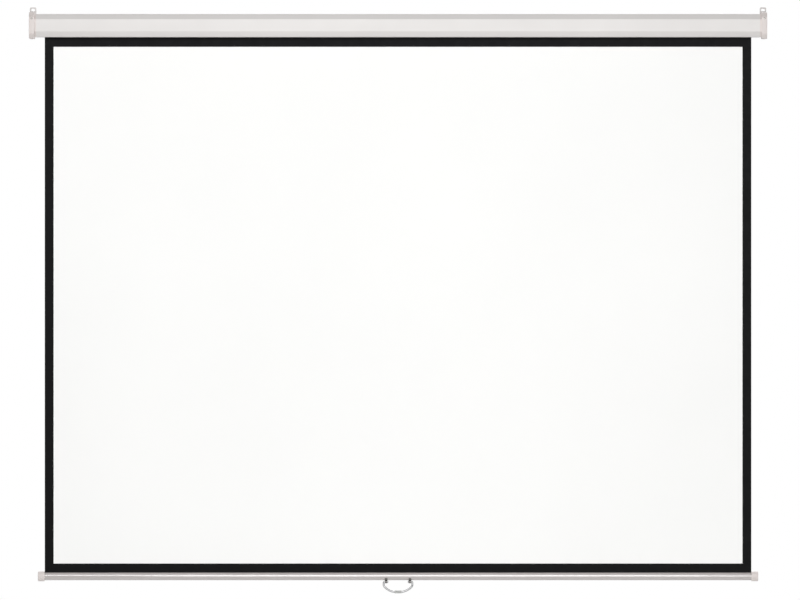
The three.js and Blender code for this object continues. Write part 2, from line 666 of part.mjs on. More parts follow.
// The black coat: a frame round the viewing area, running on up to the roller and into the bar
function blackBorder() {
  const top = ROLLER_HEIGHT - SEAT_GAP;
  const outline = rectangle(-FABRIC_EDGE, FABRIC_EDGE, BAR_TOP - BAR_WALL, top);
  const view = rectangle(-VIEW_WIDTH / 2, VIEW_WIDTH / 2, VIEW_BOTTOM, VIEW_TOP);
  return alongY(outline, FABRIC_FRONT - BORDER_THICKNESS, FABRIC_FRONT, [view]);
}

// The bar is a slotted tube; its slot faces up and the hem can't pull out through it
function barTube() {
  const slotAngle = (radius) => Math.asin(BAR_SLOT / 2 / radius);
  const round = (radius) => arc(
    0, 0, radius, Math.PI / 2 + slotAngle(radius), 2.5 * Math.PI - slotAngle(radius), BAR_SIDES);
  return alongX([...round(BAR_RADIUS), ...round(BAR_BORE).reverse()], -BAR_TUBE_END, BAR_TUBE_END);
}

// Place a screw or its hole at a clip: leaning towards the wall, so it doesn't show from in front
function atClip(geometry, side) {
  return geometry.rotateX(CLIP_SCREW_LEAN).translate(side * CLIP_OFFSET, 0, 0);
}

// Hole for a clip's screw, through the clip and the bar's wall
function clipScrewHole(side) {
  const profile = rodProfile(SCREW_SHANK_RADIUS + SEAT_GAP, -CLIP_OUTER - OVERRUN, -BAR_BORE / 2);
  return atClip(turnedAboutZ(profile, SCREW_SIDES), side);
}

function barCap() {
  const bore = BAR_RADIUS + SEAT_GAP;
  const seat = BAR_END - BAR_CAP_END_WALL;
  return turnedAboutX([
    [bore, BAR_CAP_START], [BAR_CAP_RADIUS, BAR_CAP_START],
    [BAR_CAP_RADIUS, BAR_END - BAR_CAP_ROUND], [BAR_CAP_RADIUS - BAR_CAP_ROUND, BAR_END],
    [0, BAR_END], [0, seat], [bore, seat], [bore, BAR_CAP_START],
  ], BAR_SIDES);
}

function hemRod() {
  const end = FABRIC_EDGE + HEM_ROD_REACH;
  return turnedAboutX(rodProfile(HEM_ROD_RADIUS, -end, end), AXLE_SIDES).translate(0, 0, HEM_RISE);
}

// A clip under the bar: a strap with a knuckle that carries one of the handle's turned-in ends
function handleClip() {
  const down = -Math.PI / 2;
  const front = down - CLIP_HALF_ANGLE;
  const back = down + CLIP_HALF_ANGLE;
  const strap = alongX([
    ...arc(0, 0, CLIP_OUTER, front, back, BAR_SIDES / 2),
    ...arc(0, 0, CLIP_INNER, back, front, BAR_SIDES / 2),
  ], CLIP_START, CLIP_END);
  const knuckle = alongX(
    circle(0, -PIVOT_DROP, KNUCKLE_BORE + KNUCKLE_WALL, AXLE_SIDES), CLIP_START, CLIP_END);
  const room = (section) => alongX(section, CLIP_START - OVERRUN, CLIP_END + OVERRUN);
  return cut(
    join(strap, knuckle),
    room(circle(0, 0, CLIP_INNER, 2 * BAR_SIDES)),
    room(circle(0, -PIVOT_DROP, KNUCKLE_BORE, AXLE_SIDES)),
    clipScrewHole(1));
}

// Screw that holds a clip to the bar
function clipScrew() {
  return atClip(turnedAboutZ(panScrewProfile(-CLIP_OUTER), SCREW_SIDES), 1);
}

// Half of the handle's path, from its end in a knuckle to the middle of the grip
function handleHalf(side) {
  const half = HANDLE_WIDTH / 2 - HANDLE_WIRE_RADIUS;
  const point = (x, z) => new THREE.Vector3(side * x, 0, z);
  const bendStart = CLIP_END + AXIAL_GAP;
  const bend = half - bendStart;
  const handle = bend * ROUND_BEND_SHARE;
  return {
    end: point(CLIP_START - HANDLE_WIRE_RADIUS, 0),
    bendStart: point(bendStart, 0),
    bendHandles: [point(bendStart + handle, 0), point(half, handle - bend)],
    bendEnd: point(half, -bend),
    legEnd: point(half, -HANDLE_LEG),
    lower: LOWER_BEND_SHARES.map(([across, down]) => point(
      half * across, -HANDLE_LEG - (GRIP_DROP - HANDLE_LEG) * down)),
    foot: point(GRIP_LENGTH / 2, -GRIP_DROP),
  };
}

function pullHandle() {
  const left = handleHalf(-1);
  const right = handleHalf(1);
  const path = new THREE.CurvePath();
  path.add(new THREE.LineCurve3(left.end, left.bendStart));
  path.add(new THREE.CubicBezierCurve3(left.bendStart, ...left.bendHandles, left.bendEnd));
  path.add(new THREE.LineCurve3(left.bendEnd, left.legEnd));
  path.add(new THREE.CubicBezierCurve3(left.legEnd, ...left.lower, left.foot));
  path.add(new THREE.LineCurve3(left.foot, right.foot));
  path.add(new THREE.CubicBezierCurve3(right.foot, ...right.lower.reverse(), right.legEnd));
  path.add(new THREE.LineCurve3(right.legEnd, right.bendEnd));
  path.add(new THREE.CubicBezierCurve3(right.bendEnd, ...right.bendHandles.reverse(), right.bendStart));
  path.add(new THREE.LineCurve3(right.bendStart, right.end));
  const section = flatShape(circle(0, 0, HANDLE_WIRE_RADIUS, HANDLE_SIDES), []);
  return closedBody(new THREE.ExtrudeGeometry(section, { steps: HANDLE_STEPS, extrudePath: path }));
}

function handleGrip() {
  const half = GRIP_LENGTH / 2 - SEAT_GAP;
  const profile = ringProfile(HANDLE_WIRE_RADIUS + SEAT_GAP, GRIP_RADIUS, -half, half);
  return turnedAboutX(profile, SCREW_SIDES).translate(0, 0, -GRIP_DROP);
}

const finish = (color, roughness, metalness) => (
  new THREE.MeshStandardMaterial({ color, roughness, metalness }));

const FINISHES = {
  casingPaint: finish(0xf0efec, 0.45, 0.0),
  capPlastic: finish(0xe9e4e1, 0.5, 0.0),
  bracketPaint: finish(0xe6e4e1, 0.45, 0.1),
  zincSteel: finish(0xb9bbbd, 0.4, 0.9),
  screwSteel: finish(0x8d8a85, 0.4, 0.9),
  rollerSteel: finish(0xa9adb0, 0.45, 0.9),
  nylon: finish(0xe6e2d6, 0.6, 0.0),
  springSteel: finish(0x55585c, 0.4, 0.9),
  brass: finish(0xb59a5a, 0.4, 0.9),
  whiteFabric: finish(0xf7f7f5, 0.9, 0.0),
  blackCoat: finish(0x17181a, 0.8, 0.0),
  barEnamel: finish(0xdcdad8, 0.35, 0.1),
  chrome: finish(0xc4c7c9, 0.15, 1.0),
  clipSteel: finish(0x6f6e6c, 0.4, 0.9),
  gripPlastic: finish(0x9a9b98, 0.5, 0.0),
};

function piece(name, geometry, material) {
  const mesh = new THREE.Mesh(geometry, material);
  mesh.name = name;
  return mesh;
}

function placed(y, z, ...pieces) {
  const group = new THREE.Group();
  group.position.set(0, y, z);
  group.add(...pieces);
  return group;
}

// The casing with its caps, brackets and their screws
function casingAssembly() {
  const bracket = hangingBracket();
  const group = placed(
    0, 0,
    piece('casing_shell', casingShell(), FINISHES.casingPaint),
    piece('end_cap_left', shaftCap(), FINISHES.capPlastic),
    piece('end_cap_right', bushCap(), FINISHES.capPlastic),
    piece('hanging_bracket_left', mirrored(bracket), FINISHES.bracketPaint),
    piece('hanging_bracket_right', bracket, FINISHES.bracketPaint),
    piece('cap_screw_left', mirrored(capScrew()), FINISHES.screwSteel),
    piece('cap_screw_right', capScrew(), FINISHES.screwSteel));
  const [lower, upper] = PLATE_SCREW_HEIGHTS;
  for (const [level, height] of [['lower', lower], ['upper', upper]]) {
    const screw = bracketScrew(height);
    group.add(piece(`bracket_screw_left_${level}`, mirrored(screw), FINISHES.screwSteel));
    group.add(piece(`bracket_screw_right_${level}`, screw, FINISHES.screwSteel));
  }
  return group;
}

// The roller with everything on its axis
function rollerAssembly() {
  const lowerPawl = pawl().rotateX(Math.PI);
  const lowerPivot = pawlPivot().rotateX(Math.PI);
  return placed(
    ROLLER_Y, ROLLER_HEIGHT,
    piece('roller_tube', rollerTube(), FINISHES.rollerSteel),
    piece('roller_plug_left', pawlPlug(), FINISHES.nylon),
    piece('roller_plug_right', rollerPlug(GUDGEON_RADIUS + SEAT_GAP), FINISHES.nylon),
    piece('fabric_wraps', fabricWraps(), FINISHES.blackCoat),
    piece('gudgeon_pin', gudgeonPin(), FINISHES.zincSteel),
    piece('gudgeon_bush', gudgeonBush(), FINISHES.nylon),
    piece('spring_shaft', springShaft(), FINISHES.zincSteel),
    piece('spring_anchor', springAnchor(), FINISHES.nylon),
    piece('torsion_spring', torsionSpring(), FINISHES.springSteel),
    piece('ratchet_wheel', ratchetWheel(), FINISHES.zincSteel),
    piece('pawl_upper', pawl(), FINISHES.brass),
    piece('pawl_lower', lowerPawl, FINISHES.brass),
    piece('pawl_pivot_upper', pawlPivot(), FINISHES.zincSteel),
    piece('pawl_pivot_lower', lowerPivot, FINISHES.zincSteel));
}

function screenAssembly() {
  return placed(
    0, 0,
    piece('screen_fabric', screenFabric(), FINISHES.whiteFabric),
    piece('black_border', blackBorder(), FINISHES.blackCoat));
}

function barAssembly() {
  return placed(
    FABRIC_Y, BAR_Z,
    piece('bar_tube', cut(barTube(), clipScrewHole(-1), clipScrewHole(1)), FINISHES.barEnamel),
    piece('bar_cap_left', mirrored(barCap()), FINISHES.capPlastic),
    piece('bar_cap_right', barCap(), FINISHES.capPlastic),
    piece('hem_rod', hemRod(), FINISHES.zincSteel),
    piece('handle_clip_left', mirrored(handleClip()), FINISHES.clipSteel),
    piece('handle_clip_right', handleClip(), FINISHES.clipSteel),
    piece('handle_screw_left', mirrored(clipScrew()), FINISHES.screwSteel),
    piece('handle_screw_right', clipScrew(), FINISHES.screwSteel),
    placed(
      0, -PIVOT_DROP,
      piece('pull_handle', pullHandle(), FINISHES.chrome),
      piece('handle_grip', handleGrip(), FINISHES.gripPlastic)));
}

const projectorScreen = new THREE.Group();
projectorScreen.add(casingAssembly(), rollerAssembly(), screenAssembly(), barAssembly());

export default projectorScreen;
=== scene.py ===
"""A pull-down projector screen with a spring roller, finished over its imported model.

The casing, the screen, the bottom bar and the pull handle get their rounded edges, fine surfaces
and finishes here. Lengths are in metres, in the model's own frame: X runs along the casing to the
viewer's right, Y into the wall and Z up, and the origin is the middle of the casing's back.
"""

from __future__ import annotations

import json
import logging
import math
from collections.abc import Callable, Sequence
from dataclasses import dataclass
from enum import Enum
from itertools import pairwise
from typing import Any

import bmesh
import bpy
from bpy.types import Material, Mesh, Node, NodeSocket, NodeTree, Object
from mathutils import Euler, Matrix, Vector

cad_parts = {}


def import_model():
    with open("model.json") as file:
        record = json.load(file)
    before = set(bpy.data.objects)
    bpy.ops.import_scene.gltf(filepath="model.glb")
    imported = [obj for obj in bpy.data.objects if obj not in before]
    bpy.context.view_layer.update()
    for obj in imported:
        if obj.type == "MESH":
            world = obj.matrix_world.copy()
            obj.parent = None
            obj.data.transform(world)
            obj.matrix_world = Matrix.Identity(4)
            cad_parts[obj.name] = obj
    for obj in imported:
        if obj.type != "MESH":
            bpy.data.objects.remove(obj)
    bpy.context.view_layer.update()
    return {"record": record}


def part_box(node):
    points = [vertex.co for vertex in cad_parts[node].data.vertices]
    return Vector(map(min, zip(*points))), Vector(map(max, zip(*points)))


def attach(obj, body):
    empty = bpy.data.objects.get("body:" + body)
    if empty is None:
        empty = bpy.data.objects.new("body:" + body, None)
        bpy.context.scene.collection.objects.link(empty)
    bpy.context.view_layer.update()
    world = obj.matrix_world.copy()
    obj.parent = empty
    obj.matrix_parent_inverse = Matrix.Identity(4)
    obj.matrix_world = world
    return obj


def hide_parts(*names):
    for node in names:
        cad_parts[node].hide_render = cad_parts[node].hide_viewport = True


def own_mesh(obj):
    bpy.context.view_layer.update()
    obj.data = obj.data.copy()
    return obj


Point2 = tuple[float, float]
Point3 = tuple[float, float, float]
Colour = tuple[float, float, float, float]
Swell = tuple[float, float, float, float]  # share, radians a metre across and up, start
Seat = tuple[Point3, Point3]  # a place, and the direction that what sits there faces

log = logging.getLogger("projector_screen")

OVERRUN = 0.004  # how far a cutting shape runs past the face that it cuts
SEAT_GAP = 0.0003  # between a piece and what it is seated on or in
MERGE_DISTANCE = 1e-7
COPY_MERGE_DISTANCE = 1e-6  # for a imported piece, which is loose triangles
FLAT_ANGLE = math.radians(1)  # under which two triangles are one face
HOLE_SIDES = 24  # of a small drilled hole
STOP_SEED = 4  # of the angles that the screws stop at
METRE_WAVE_SCALE = 0.314  # of a wave texture whose waves are a metre apart
NOISE_LOW, NOISE_HIGH = 0.3, 0.7  # between which most of a noise texture's values lie
EDGE_ANGLE = math.radians(28)  # above which an edge is rounded when a piece is eased
CHAMFER_SHORTENING_SHARE = 2 - math.sqrt(2)  # of an inset, by which it shortens a 45 degree chamfer


# Small tools that the sub-assemblies share


class Axis(Enum):
    """The direction that a drawing is carried along."""

    X = "x"
    Y = "y"
    Z = "z"

    def place(self, u: float, v: float, along: float) -> Point3:
        """Put a drawing's point (u, v) into space.

        Args:
            u: First coordinate of the drawing.
            v: Second coordinate of the drawing.
            along: Distance along this axis.

        Returns:
            The point in space, with u and v on the other two axes in order.
        """
        if self is Axis.X:
            return (along, u, v)
        if self is Axis.Y:
            return (u, along, v)
        return (u, v, along)


class Side(Enum):
    """The two ends of the screen, as the viewer sees them."""

    LEFT = -1
    RIGHT = 1

    @property
    def word(self) -> str:
        """The side's name in small letters."""
        return self.name.lower()


class Joining(Enum):
    """What is done with other shapes: they are added to a piece or cut out of it."""

    UNION = "UNION"
    DIFFERENCE = "DIFFERENCE"


def shade(red: int, green: int, blue: int) -> Colour:
    """Turn a colour as a display shows it into linear light.

    Args:
        red: Red, from 0 to 255.
        green: Green, from 0 to 255.
        blue: Blue, from 0 to 255.

    Returns:
        The colour in linear light, with full opacity.
    """

    def linear(value: int) -> float:
        """One channel in linear light."""
        share = value / 255
        return share / 12.92 if share <= 0.04045 else ((share + 0.055) / 1.055) ** 2.4

    return (linear(red), linear(green), linear(blue), 1.0)


def toned(colour: Colour, share: float) -> Colour:
    """The same colour with a share of its light."""
    return (colour[0] * share, colour[1] * share, colour[2] * share, colour[3])


def arc(u: float, v: float, radius: float, start: float, end: float, steps: int) -> list[Point2]:
    """Points along a round arc.

    Args:
        u: First coordinate of its centre.
        v: Second coordinate of its centre.
        radius: Its radius.
        start: Angle of its first point, in radians.
        end: Angle of its last point, in radians.
        steps: Number of steps between them.

    Returns:
        The points, both ends included.
    """
    angles = [start + (end - start) * step / steps for step in range(steps + 1)]
    return [(u + radius * math.cos(angle), v + radius * math.sin(angle)) for angle in angles]


def bezier(a: Point2, b: Point2, c: Point2, d: Point2, steps: int) -> list[Point2]:
    """Points along a cubic curve.

    Args:
        a: Its start.
        b: The point that it leaves towards.
        c: The point that it arrives from.
        d: Its end.
        steps: Number of steps.

    Returns:
        The points, both ends included.
    """
    points = []
    for step in range(steps + 1):
        t = step / steps
        weights = ((1 - t) ** 3, 3 * t * (1 - t) ** 2, 3 * t * t * (1 - t), t ** 3)
        points.append(tuple(
            sum(weight * place[k] for weight, place in zip(weights, (a, b, c, d))) for k in (0, 1)))
    return points


def octagon(
    front: float, back: float, bottom: float, top: float, nose: float, heel: float,
) -> list[Point2]:
    """The eight corners of the casing's section, as (y, z) points.

    Args:
        front: Y of its front face.
        back: Y of its back face.
        bottom: Z of its bottom face.
        top: Z of its top face.
        nose: Size of the two front chamfers.
        heel: Size of the two back chamfers.

    Returns:
        The corners in order round the section.
    """
    return [
        (front + nose, bottom), (front, bottom + nose), (front, top - nose), (front + nose, top),
        (back - heel, top), (back, top - heel), (back, bottom + heel), (back - heel, bottom),
    ]


def build_mesh(name: str, points: Sequence[Point3], faces: Sequence[Sequence[int]]) -> Mesh:
    """Make a mesh whose doubles are merged and whose faces point out.

    Args:
        name: Name of the mesh.
        points: Its corners.
        faces: The numbers of each face's corners.

    Returns:
        The mesh.
    """
    mesh = bpy.data.meshes.new(name)
    mesh.from_pydata(points, [], faces)
    turn_outward(mesh)
    return mesh


def turn_outward(mesh: Mesh) -> None:
    """Merge a closed mesh's doubles and point its faces out.

    Args:
        mesh: The mesh.
    """
    work = bmesh.new()
    work.from_mesh(mesh)
    bmesh.ops.remove_doubles(work, verts=work.verts, dist=MERGE_DISTANCE)
    bmesh.ops.recalc_face_normals(work, faces=work.faces)
    work.to_mesh(mesh)
    work.free()


def new_object(name: str, mesh: Mesh) -> Object:
    """Put a mesh into the scene as an object at the origin.

    Args:
        name: Name of the object.
        mesh: Its mesh.

    Returns:
        The object.
    """
    made = bpy.data.objects.new(name, mesh)
    bpy.context.scene.collection.objects.link(made)
    return made


def prism(name: str, outline: Sequence[Point2], axis: Axis, start: float, end: float) -> Object:
    """Carry an outline along an axis.

    Args:
        name: Name of the new object.
        outline: Corners of the outline, in order.
        axis: The axis that it is carried along.
        start: Where the solid starts on that axis.
        end: Where it ends.

    Returns:
        The closed solid.
    """
    count = len(outline)
    points = [axis.place(u, v, along) for along in (start, end) for u, v in outline]
    walls = [(i, (i + 1) % count, count + (i + 1) % count, count + i) for i in range(count)]
    lids = [tuple(range(count)), tuple(range(count, 2 * count))]
    return new_object(name, build_mesh(name, points, [*walls, *lids]))


def slab(name: str, low: Point3, high: Point3) -> Object:
    """A plain block between two corners.

    Args:
        name: Name of the new object.
        low: Its lowest corner.
        high: Its highest corner.

    Returns:
        The block.
    """
    (left, front, bottom), (right, back, top) = low, high
    outline = [(front, bottom), (back, bottom), (back, top), (front, top)]
    return prism(name, outline, Axis.X, left, right)


def turned(
    name: str, profile: Sequence[Point2], axis: Axis, centre: Point2, sides: int,
) -> Object:
    """Turn a profile about an axis, as a lathe does.

    Args:
        name: Name of the new object.
        profile: (radius, distance along the axis) points. It starts and ends on the axis, or closes
            on its first point.
        axis: The axis that it is turned about.
        centre: Where the axis passes, in the drawing's two coordinates.
        sides: Number of flat sides that the round has.

    Returns:
        The closed solid.
    """
    points: list[Point3] = []
    for radius, along in profile:
        ring = arc(centre[0], centre[1], radius, 0.0, math.tau, sides)[:sides]
        points.extend(axis.place(u, v, along) for u, v in ring)
    faces = []
    for row in range(len(profile) - 1):
        for side in range(sides):
            near, far = row * sides, (row + 1) * sides
            after = (side + 1) % sides
            faces.append((near + side, near + after, far + after, far + side))
    return new_object(name, build_mesh(name, points, faces))


def rod_profile(radius: float, start: float, end: float) -> list[Point2]:
    """The profile of a plain rod, or of a drilled hole."""
    return [(0.0, start), (radius, start), (radius, end), (0.0, end)]


def ring_profile(bore: float, radius: float, start: float, end: float) -> list[Point2]:
    """The profile of a plain ring or sleeve."""
    return [(bore, start), (radius, start), (radius, end), (bore, end), (bore, start)]


def settle(piece: Object) -> Object:
    """Turn a piece's modifiers into its mesh.

    Args:
        piece: The piece.

    Returns:
        The same piece, as a plain mesh.
    """
    evaluated = piece.evaluated_get(bpy.context.evaluated_depsgraph_get())
    mesh = bpy.data.meshes.new_from_object(evaluated)
    piece.modifiers.clear()
    piece.data = mesh
    return piece


def eased(piece: Object, width: float, segments: int = 3) -> Object:
    """Round a piece's edges.

    Args:
        piece: The piece.
        width: How far the rounding reaches from each edge.
        segments: Number of faces across the rounding.

    Returns:
        The same piece.
    """
    bevel = piece.modifiers.new("eased edges", "BEVEL")
    bevel.width = width
    bevel.segments = segments
    bevel.limit_method = "ANGLE"
    bevel.angle_limit = EDGE_ANGLE
    return settle(piece)


def combined(piece: Object, tools: Sequence[Object], joining: Joining) -> Object:
    """Join other shapes to a piece or cut them out of it, and delete them.

    Args:
        piece: The piece.
        tools: The other shapes.
        joining: Whether they are added or cut out.

    Returns:
        The same piece.
    """
    for tool in tools:
        step = piece.modifiers.new(tool.name, "BOOLEAN")
        step.operation = joining.value
        step.solver = "EXACT"
        step.object = tool
    settle(piece)
    for tool in tools:
        bpy.data.objects.remove(tool)
    return piece


def softened(piece: Object, crease: float = 32.0) -> Object:
    """Shade a piece smoothly except across its sharper edges.

    Args:
        piece: The piece.
        crease: Angle above which an edge stays sharp, in degrees.

    Returns:
        The same piece.
    """
    piece.data.shade_smooth()
    piece.data.set_sharp_from_angle(angle=math.radians(crease))
    return piece


def face_weighted(piece: Object) -> Object:
    """Keep a piece's large flat faces flat to the eye beside its rounded edges.

    Args:
        piece: The piece.

    Returns:
        The same piece.
    """
    weighting = piece.modifiers.new("flat faces", "WEIGHTED_NORMAL")
    weighting.keep_sharp = True
    return settle(piece)


def mirrored(piece: Object) -> Object:
    """Turn a right-hand piece into its left-hand partner.

    Args:
        piece: The piece.

    Returns:
        The same piece, mirrored.
    """
    piece.data.transform(Matrix.Scale(-1, 4, (1, 0, 0)))
    piece.data.flip_normals()
    return piece


def finished_copy(node: str, ease: float) -> Object:
    """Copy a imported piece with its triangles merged, its round faces smooth and its edges eased.

    Args:
        node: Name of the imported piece.
        ease: How far the rounding reaches from each edge.

    Returns:
        The copy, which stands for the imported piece.
    """
    mesh = bpy.data.objects[node].data.copy()
    work = bmesh.new()
    work.from_mesh(mesh)
    bmesh.ops.remove_doubles(work, verts=work.verts, dist=COPY_MERGE_DISTANCE)
    bmesh.ops.dissolve_limit(work, angle_limit=FLAT_ANGLE, verts=work.verts, edges=work.edges)
    work.to_mesh(mesh)
    work.free()
    mesh.materials.clear()
    copy = eased(new_object(f"{node}_finished", mesh), ease, segments=2)
    return face_weighted(softened(copy, crease=40))


def dressed(piece: Object, *finishes: Material) -> Object:
    """Give a bare piece its finishes.

    Args:
        piece: The piece.
        *finishes: Its materials, in the order of its faces' material numbers.

    Returns:
        The same piece.
    """
    for finish in finishes:
        piece.data.materials.append(finish)
    return piece


def seated(piece: Object, body: str, slot: str, *stands_for: str) -> Object:
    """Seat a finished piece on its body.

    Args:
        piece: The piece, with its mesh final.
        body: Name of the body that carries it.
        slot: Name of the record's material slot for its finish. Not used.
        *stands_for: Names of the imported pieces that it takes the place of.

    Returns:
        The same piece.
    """
    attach(piece, body)
    if stands_for:
        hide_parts(*stands_for)
    log.info("%s: %d faces, on %s", piece.name, len(piece.data.polygons), body)
    return piece


def middle(node: str) -> Vector:
    """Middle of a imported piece's box."""
    low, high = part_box(node)
    return (Vector(low) + Vector(high)) / 2


def lathed(node: str, profile: Sequence[Point2], ease: float, sides: int = 96) -> Object:
    """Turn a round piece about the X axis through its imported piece, and ease its edges.

    Args:
        node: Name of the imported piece.
        profile: (radius, x) points, as for turned.
        ease: How far the rounding reaches from each edge.
        sides: Number of flat sides that the round has.

    Returns:
        The piece, shaded smooth.
    """
    centre = middle(node)
    piece = turned(f"{node}_finished", profile, Axis.X, (centre.y, centre.z), sides)
    return face_weighted(softened(eased(piece, ease, segments=2)))


# Rules that grow pieces with Geometry Nodes


class NodeWork:
    """A node tree, with the steps that rules and finishes share."""

    def __init__(self, tree: NodeTree) -> None:
        """Work in this tree."""
        self.tree = tree

    def supply(self, target: NodeSocket, value: Any) -> None:
        """Give a node's input what it needs.

        Args:
            target: The input.
            value: Its value, or the socket that feeds it.
        """
        if isinstance(value, NodeSocket):
            self.tree.links.new(value, target)
        else:
            target.default_value = value

    def node(self, kind: str, inputs: dict[str, Any] | None = None, **settings: Any) -> Node:
        """Add a node.

        Args:
            kind: Its type.
            inputs: Its input sockets' names, each with a value or the socket that feeds it.
            **settings: Its own settings.

        Returns:
            The node.
        """
        made = self.tree.nodes.new(kind)
        for name, value in settings.items():
            setattr(made, name, value)
        for name, value in (inputs or {}).items():
            target = next(socket for socket in made.inputs if socket.name == name and socket.enabled)
            self.supply(target, value)
        return made

    def maths(self, operation: str, first: Any, second: Any) -> NodeSocket:
        """One step of arithmetic.

        Args:
            operation: Name of the step.
            first: Its first number, or the socket that gives it.
            second: Its second number, or the socket that gives it.

        Returns:
            The result's socket.
        """
        made = self.tree.nodes.new("ShaderNodeMath")
        made.operation = operation
        for target, value in zip(made.inputs, (first, second)):
            self.supply(target, value)
        return made.outputs[0]


class GrowthRule(NodeWork):
    """A Geometry Nodes tree with named inputs, which ends in plain geometry with one finish."""

    def __init__(self, name: str) -> None:
        """Start an empty tree.

        Args:
            name: Name of the tree.
        """
        super().__init__(bpy.data.node_groups.new(name, "GeometryNodeTree"))
        face = self.tree.interface
        face.new_socket("Geometry", in_out="INPUT", socket_type="NodeSocketGeometry")
        face.new_socket("Geometry", in_out="OUTPUT", socket_type="NodeSocketGeometry")
        self.entry = self.tree.nodes.new("NodeGroupInput")
        self.exit = self.tree.nodes.new("NodeGroupOutput")

    @property
    def base(self) -> NodeSocket:
        """The geometry that the rule starts from."""
        return self.entry.outputs["Geometry"]

    def size(self, name: str, kind: str = "NodeSocketFloat") -> NodeSocket:
        """Add a named input and give the socket that carries its value."""
        self.tree.interface.new_socket(name, in_out="INPUT", socket_type=kind)
        return self.entry.outputs[name]

    def close(self, geometry: NodeSocket) -> None:
        """End the tree: real geometry, one finish.

        Args:
            geometry: The geometry that it ends in.
        """
        finish = self.size("Finish", "NodeSocketMaterial")
        real = self.node("GeometryNodeRealizeInstances", {"Geometry": geometry})
        clad = self.node(
            "GeometryNodeSetMaterial", {"Geometry": real.outputs["Geometry"], "Material": finish})
        self.tree.links.new(clad.outputs["Geometry"], self.exit.inputs["Geometry"])

    def grow(self, name: str, base: Mesh, **sizes: Any) -> Object:
        """Grow one piece.

        Args:
            name: Name of the piece.
            base: The mesh that the rule starts from.
            **sizes: Values of the tree's inputs, with _ for each space in a name.

        Returns:
            The piece, as a plain mesh whose faces point out.
        """
        piece = new_object(name, base)
        modifier = piece.modifiers.new(name, "NODES")
        modifier.node_group = self.tree
        values = {key.replace("_", " "): value for key, value in sizes.items()}
        for item in self.tree.interface.items_tree:
            if item.in_out == "INPUT" and item.name in values:
                modifier[item.identifier] = values.pop(item.name)
        if values:
            raise ValueError(f"{self.tree.name} has no input named {sorted(values)}")
        settle(piece)
        turn_outward(piece.data)
        return piece


def chain(name: str, points: Sequence[Point3]) -> Mesh:
    """A mesh of edges only, from each point to the next.

    Args:
        name: Name of the mesh.
        points: Its points, in order.

    Returns:
        The mesh.
    """
    mesh = bpy.data.meshes.new(name)
    mesh.from_pydata(points, list(pairwise(range(len(points)))), [])
    return mesh


def bent_strip_rule() -> GrowthRule:
    """A strip of even thickness, bent along a section drawn in X and Y.

    The section's two coordinates end up on Y and Z, and the strip's width along X.

    Returns:
        The rule.
    """
    rule = GrowthRule("Bent strip")
    width = rule.size("Width")
    thickness = rule.size("Thickness")
    radius = rule.size("Bend Radius")
    steps = rule.size("Bend Steps", "NodeSocketInt")
    path = rule.node("GeometryNodeMeshToCurve", {"Mesh": rule.base})
    rounded = rule.node("GeometryNodeFilletCurve", {"Curve": path.outputs["Curve"]}, mode="POLY")
    for name, value in (("Count", steps), ("Radius", radius), ("Limit Radius", True)):
        rule.supply(rounded.inputs[name], value)
    section = rule.node(
        "GeometryNodeCurvePrimitiveQuadrilateral", {"Width": thickness, "Height": width})
    strip = rule.node("GeometryNodeCurveToMesh", {
        "Curve": rounded.outputs["Curve"], "Profile Curve": section.outputs["Curve"],
        "Fill Caps": True})
    turn = Euler((math.pi / 2, 0.0, math.pi / 2))
    upright = rule.node(
        "GeometryNodeTransform", {"Geometry": strip.outputs["Mesh"], "Rotation": turn})
    rule.close(upright.outputs["Geometry"])
    return rule


def wire_rule() -> GrowthRule:
    """A round wire along a chain of points, as thick at each as its girth attribute says.

    Returns:
        The rule.
    """
    rule = GrowthRule("Round wire")
    radius = rule.size("Wire Radius")
    sides = rule.size("Sides", "NodeSocketInt")
    path = rule.node("GeometryNodeMeshToCurve", {"Mesh": rule.base})
    girth = rule.node("GeometryNodeInputNamedAttribute", {"Name": "girth"}, data_type="FLOAT")
    section = rule.node("GeometryNodeCurvePrimitiveCircle", {"Resolution": sides, "Radius": radius})
    wire = rule.node("GeometryNodeCurveToMesh", {
        "Curve": path.outputs["Curve"], "Profile Curve": section.outputs["Curve"],
        "Scale": girth.outputs["Attribute"], "Fill Caps": True})
    rule.close(wire.outputs["Mesh"])
    return rule


def coil_rule() -> GrowthRule:
    """A coil of round wire about the X axis, from the origin towards +X.

    Returns:
        The rule.
    """
    rule = GrowthRule("Wire coil")
    radius = rule.size("Coil Radius")
    length = rule.size("Length")
    curls = rule.size("Curls")
    gauge = rule.size("Wire Radius")
    steps = rule.size("Curl Steps", "NodeSocketInt")
    sides = rule.size("Sides", "NodeSocketInt")
    spiral = rule.node("GeometryNodeCurveSpiral", {
        "Resolution": steps, "Rotations": curls, "Start Radius": radius, "End Radius": radius,
        "Height": length, "Reverse": False})
    section = rule.node(
        "GeometryNodeCurvePrimitiveCircle", {"Resolution": sides, "Radius": gauge})
    coil = rule.node("GeometryNodeCurveToMesh", {
        "Curve": spiral.outputs["Curve"], "Profile Curve": section.outputs["Curve"],
        "Fill Caps": True})
    turn = Euler((0.0, math.pi / 2, 0.0))
    along = rule.node("GeometryNodeTransform", {"Geometry": coil.outputs["Mesh"], "Rotation": turn})
    rule.close(along.outputs["Geometry"])
    return rule


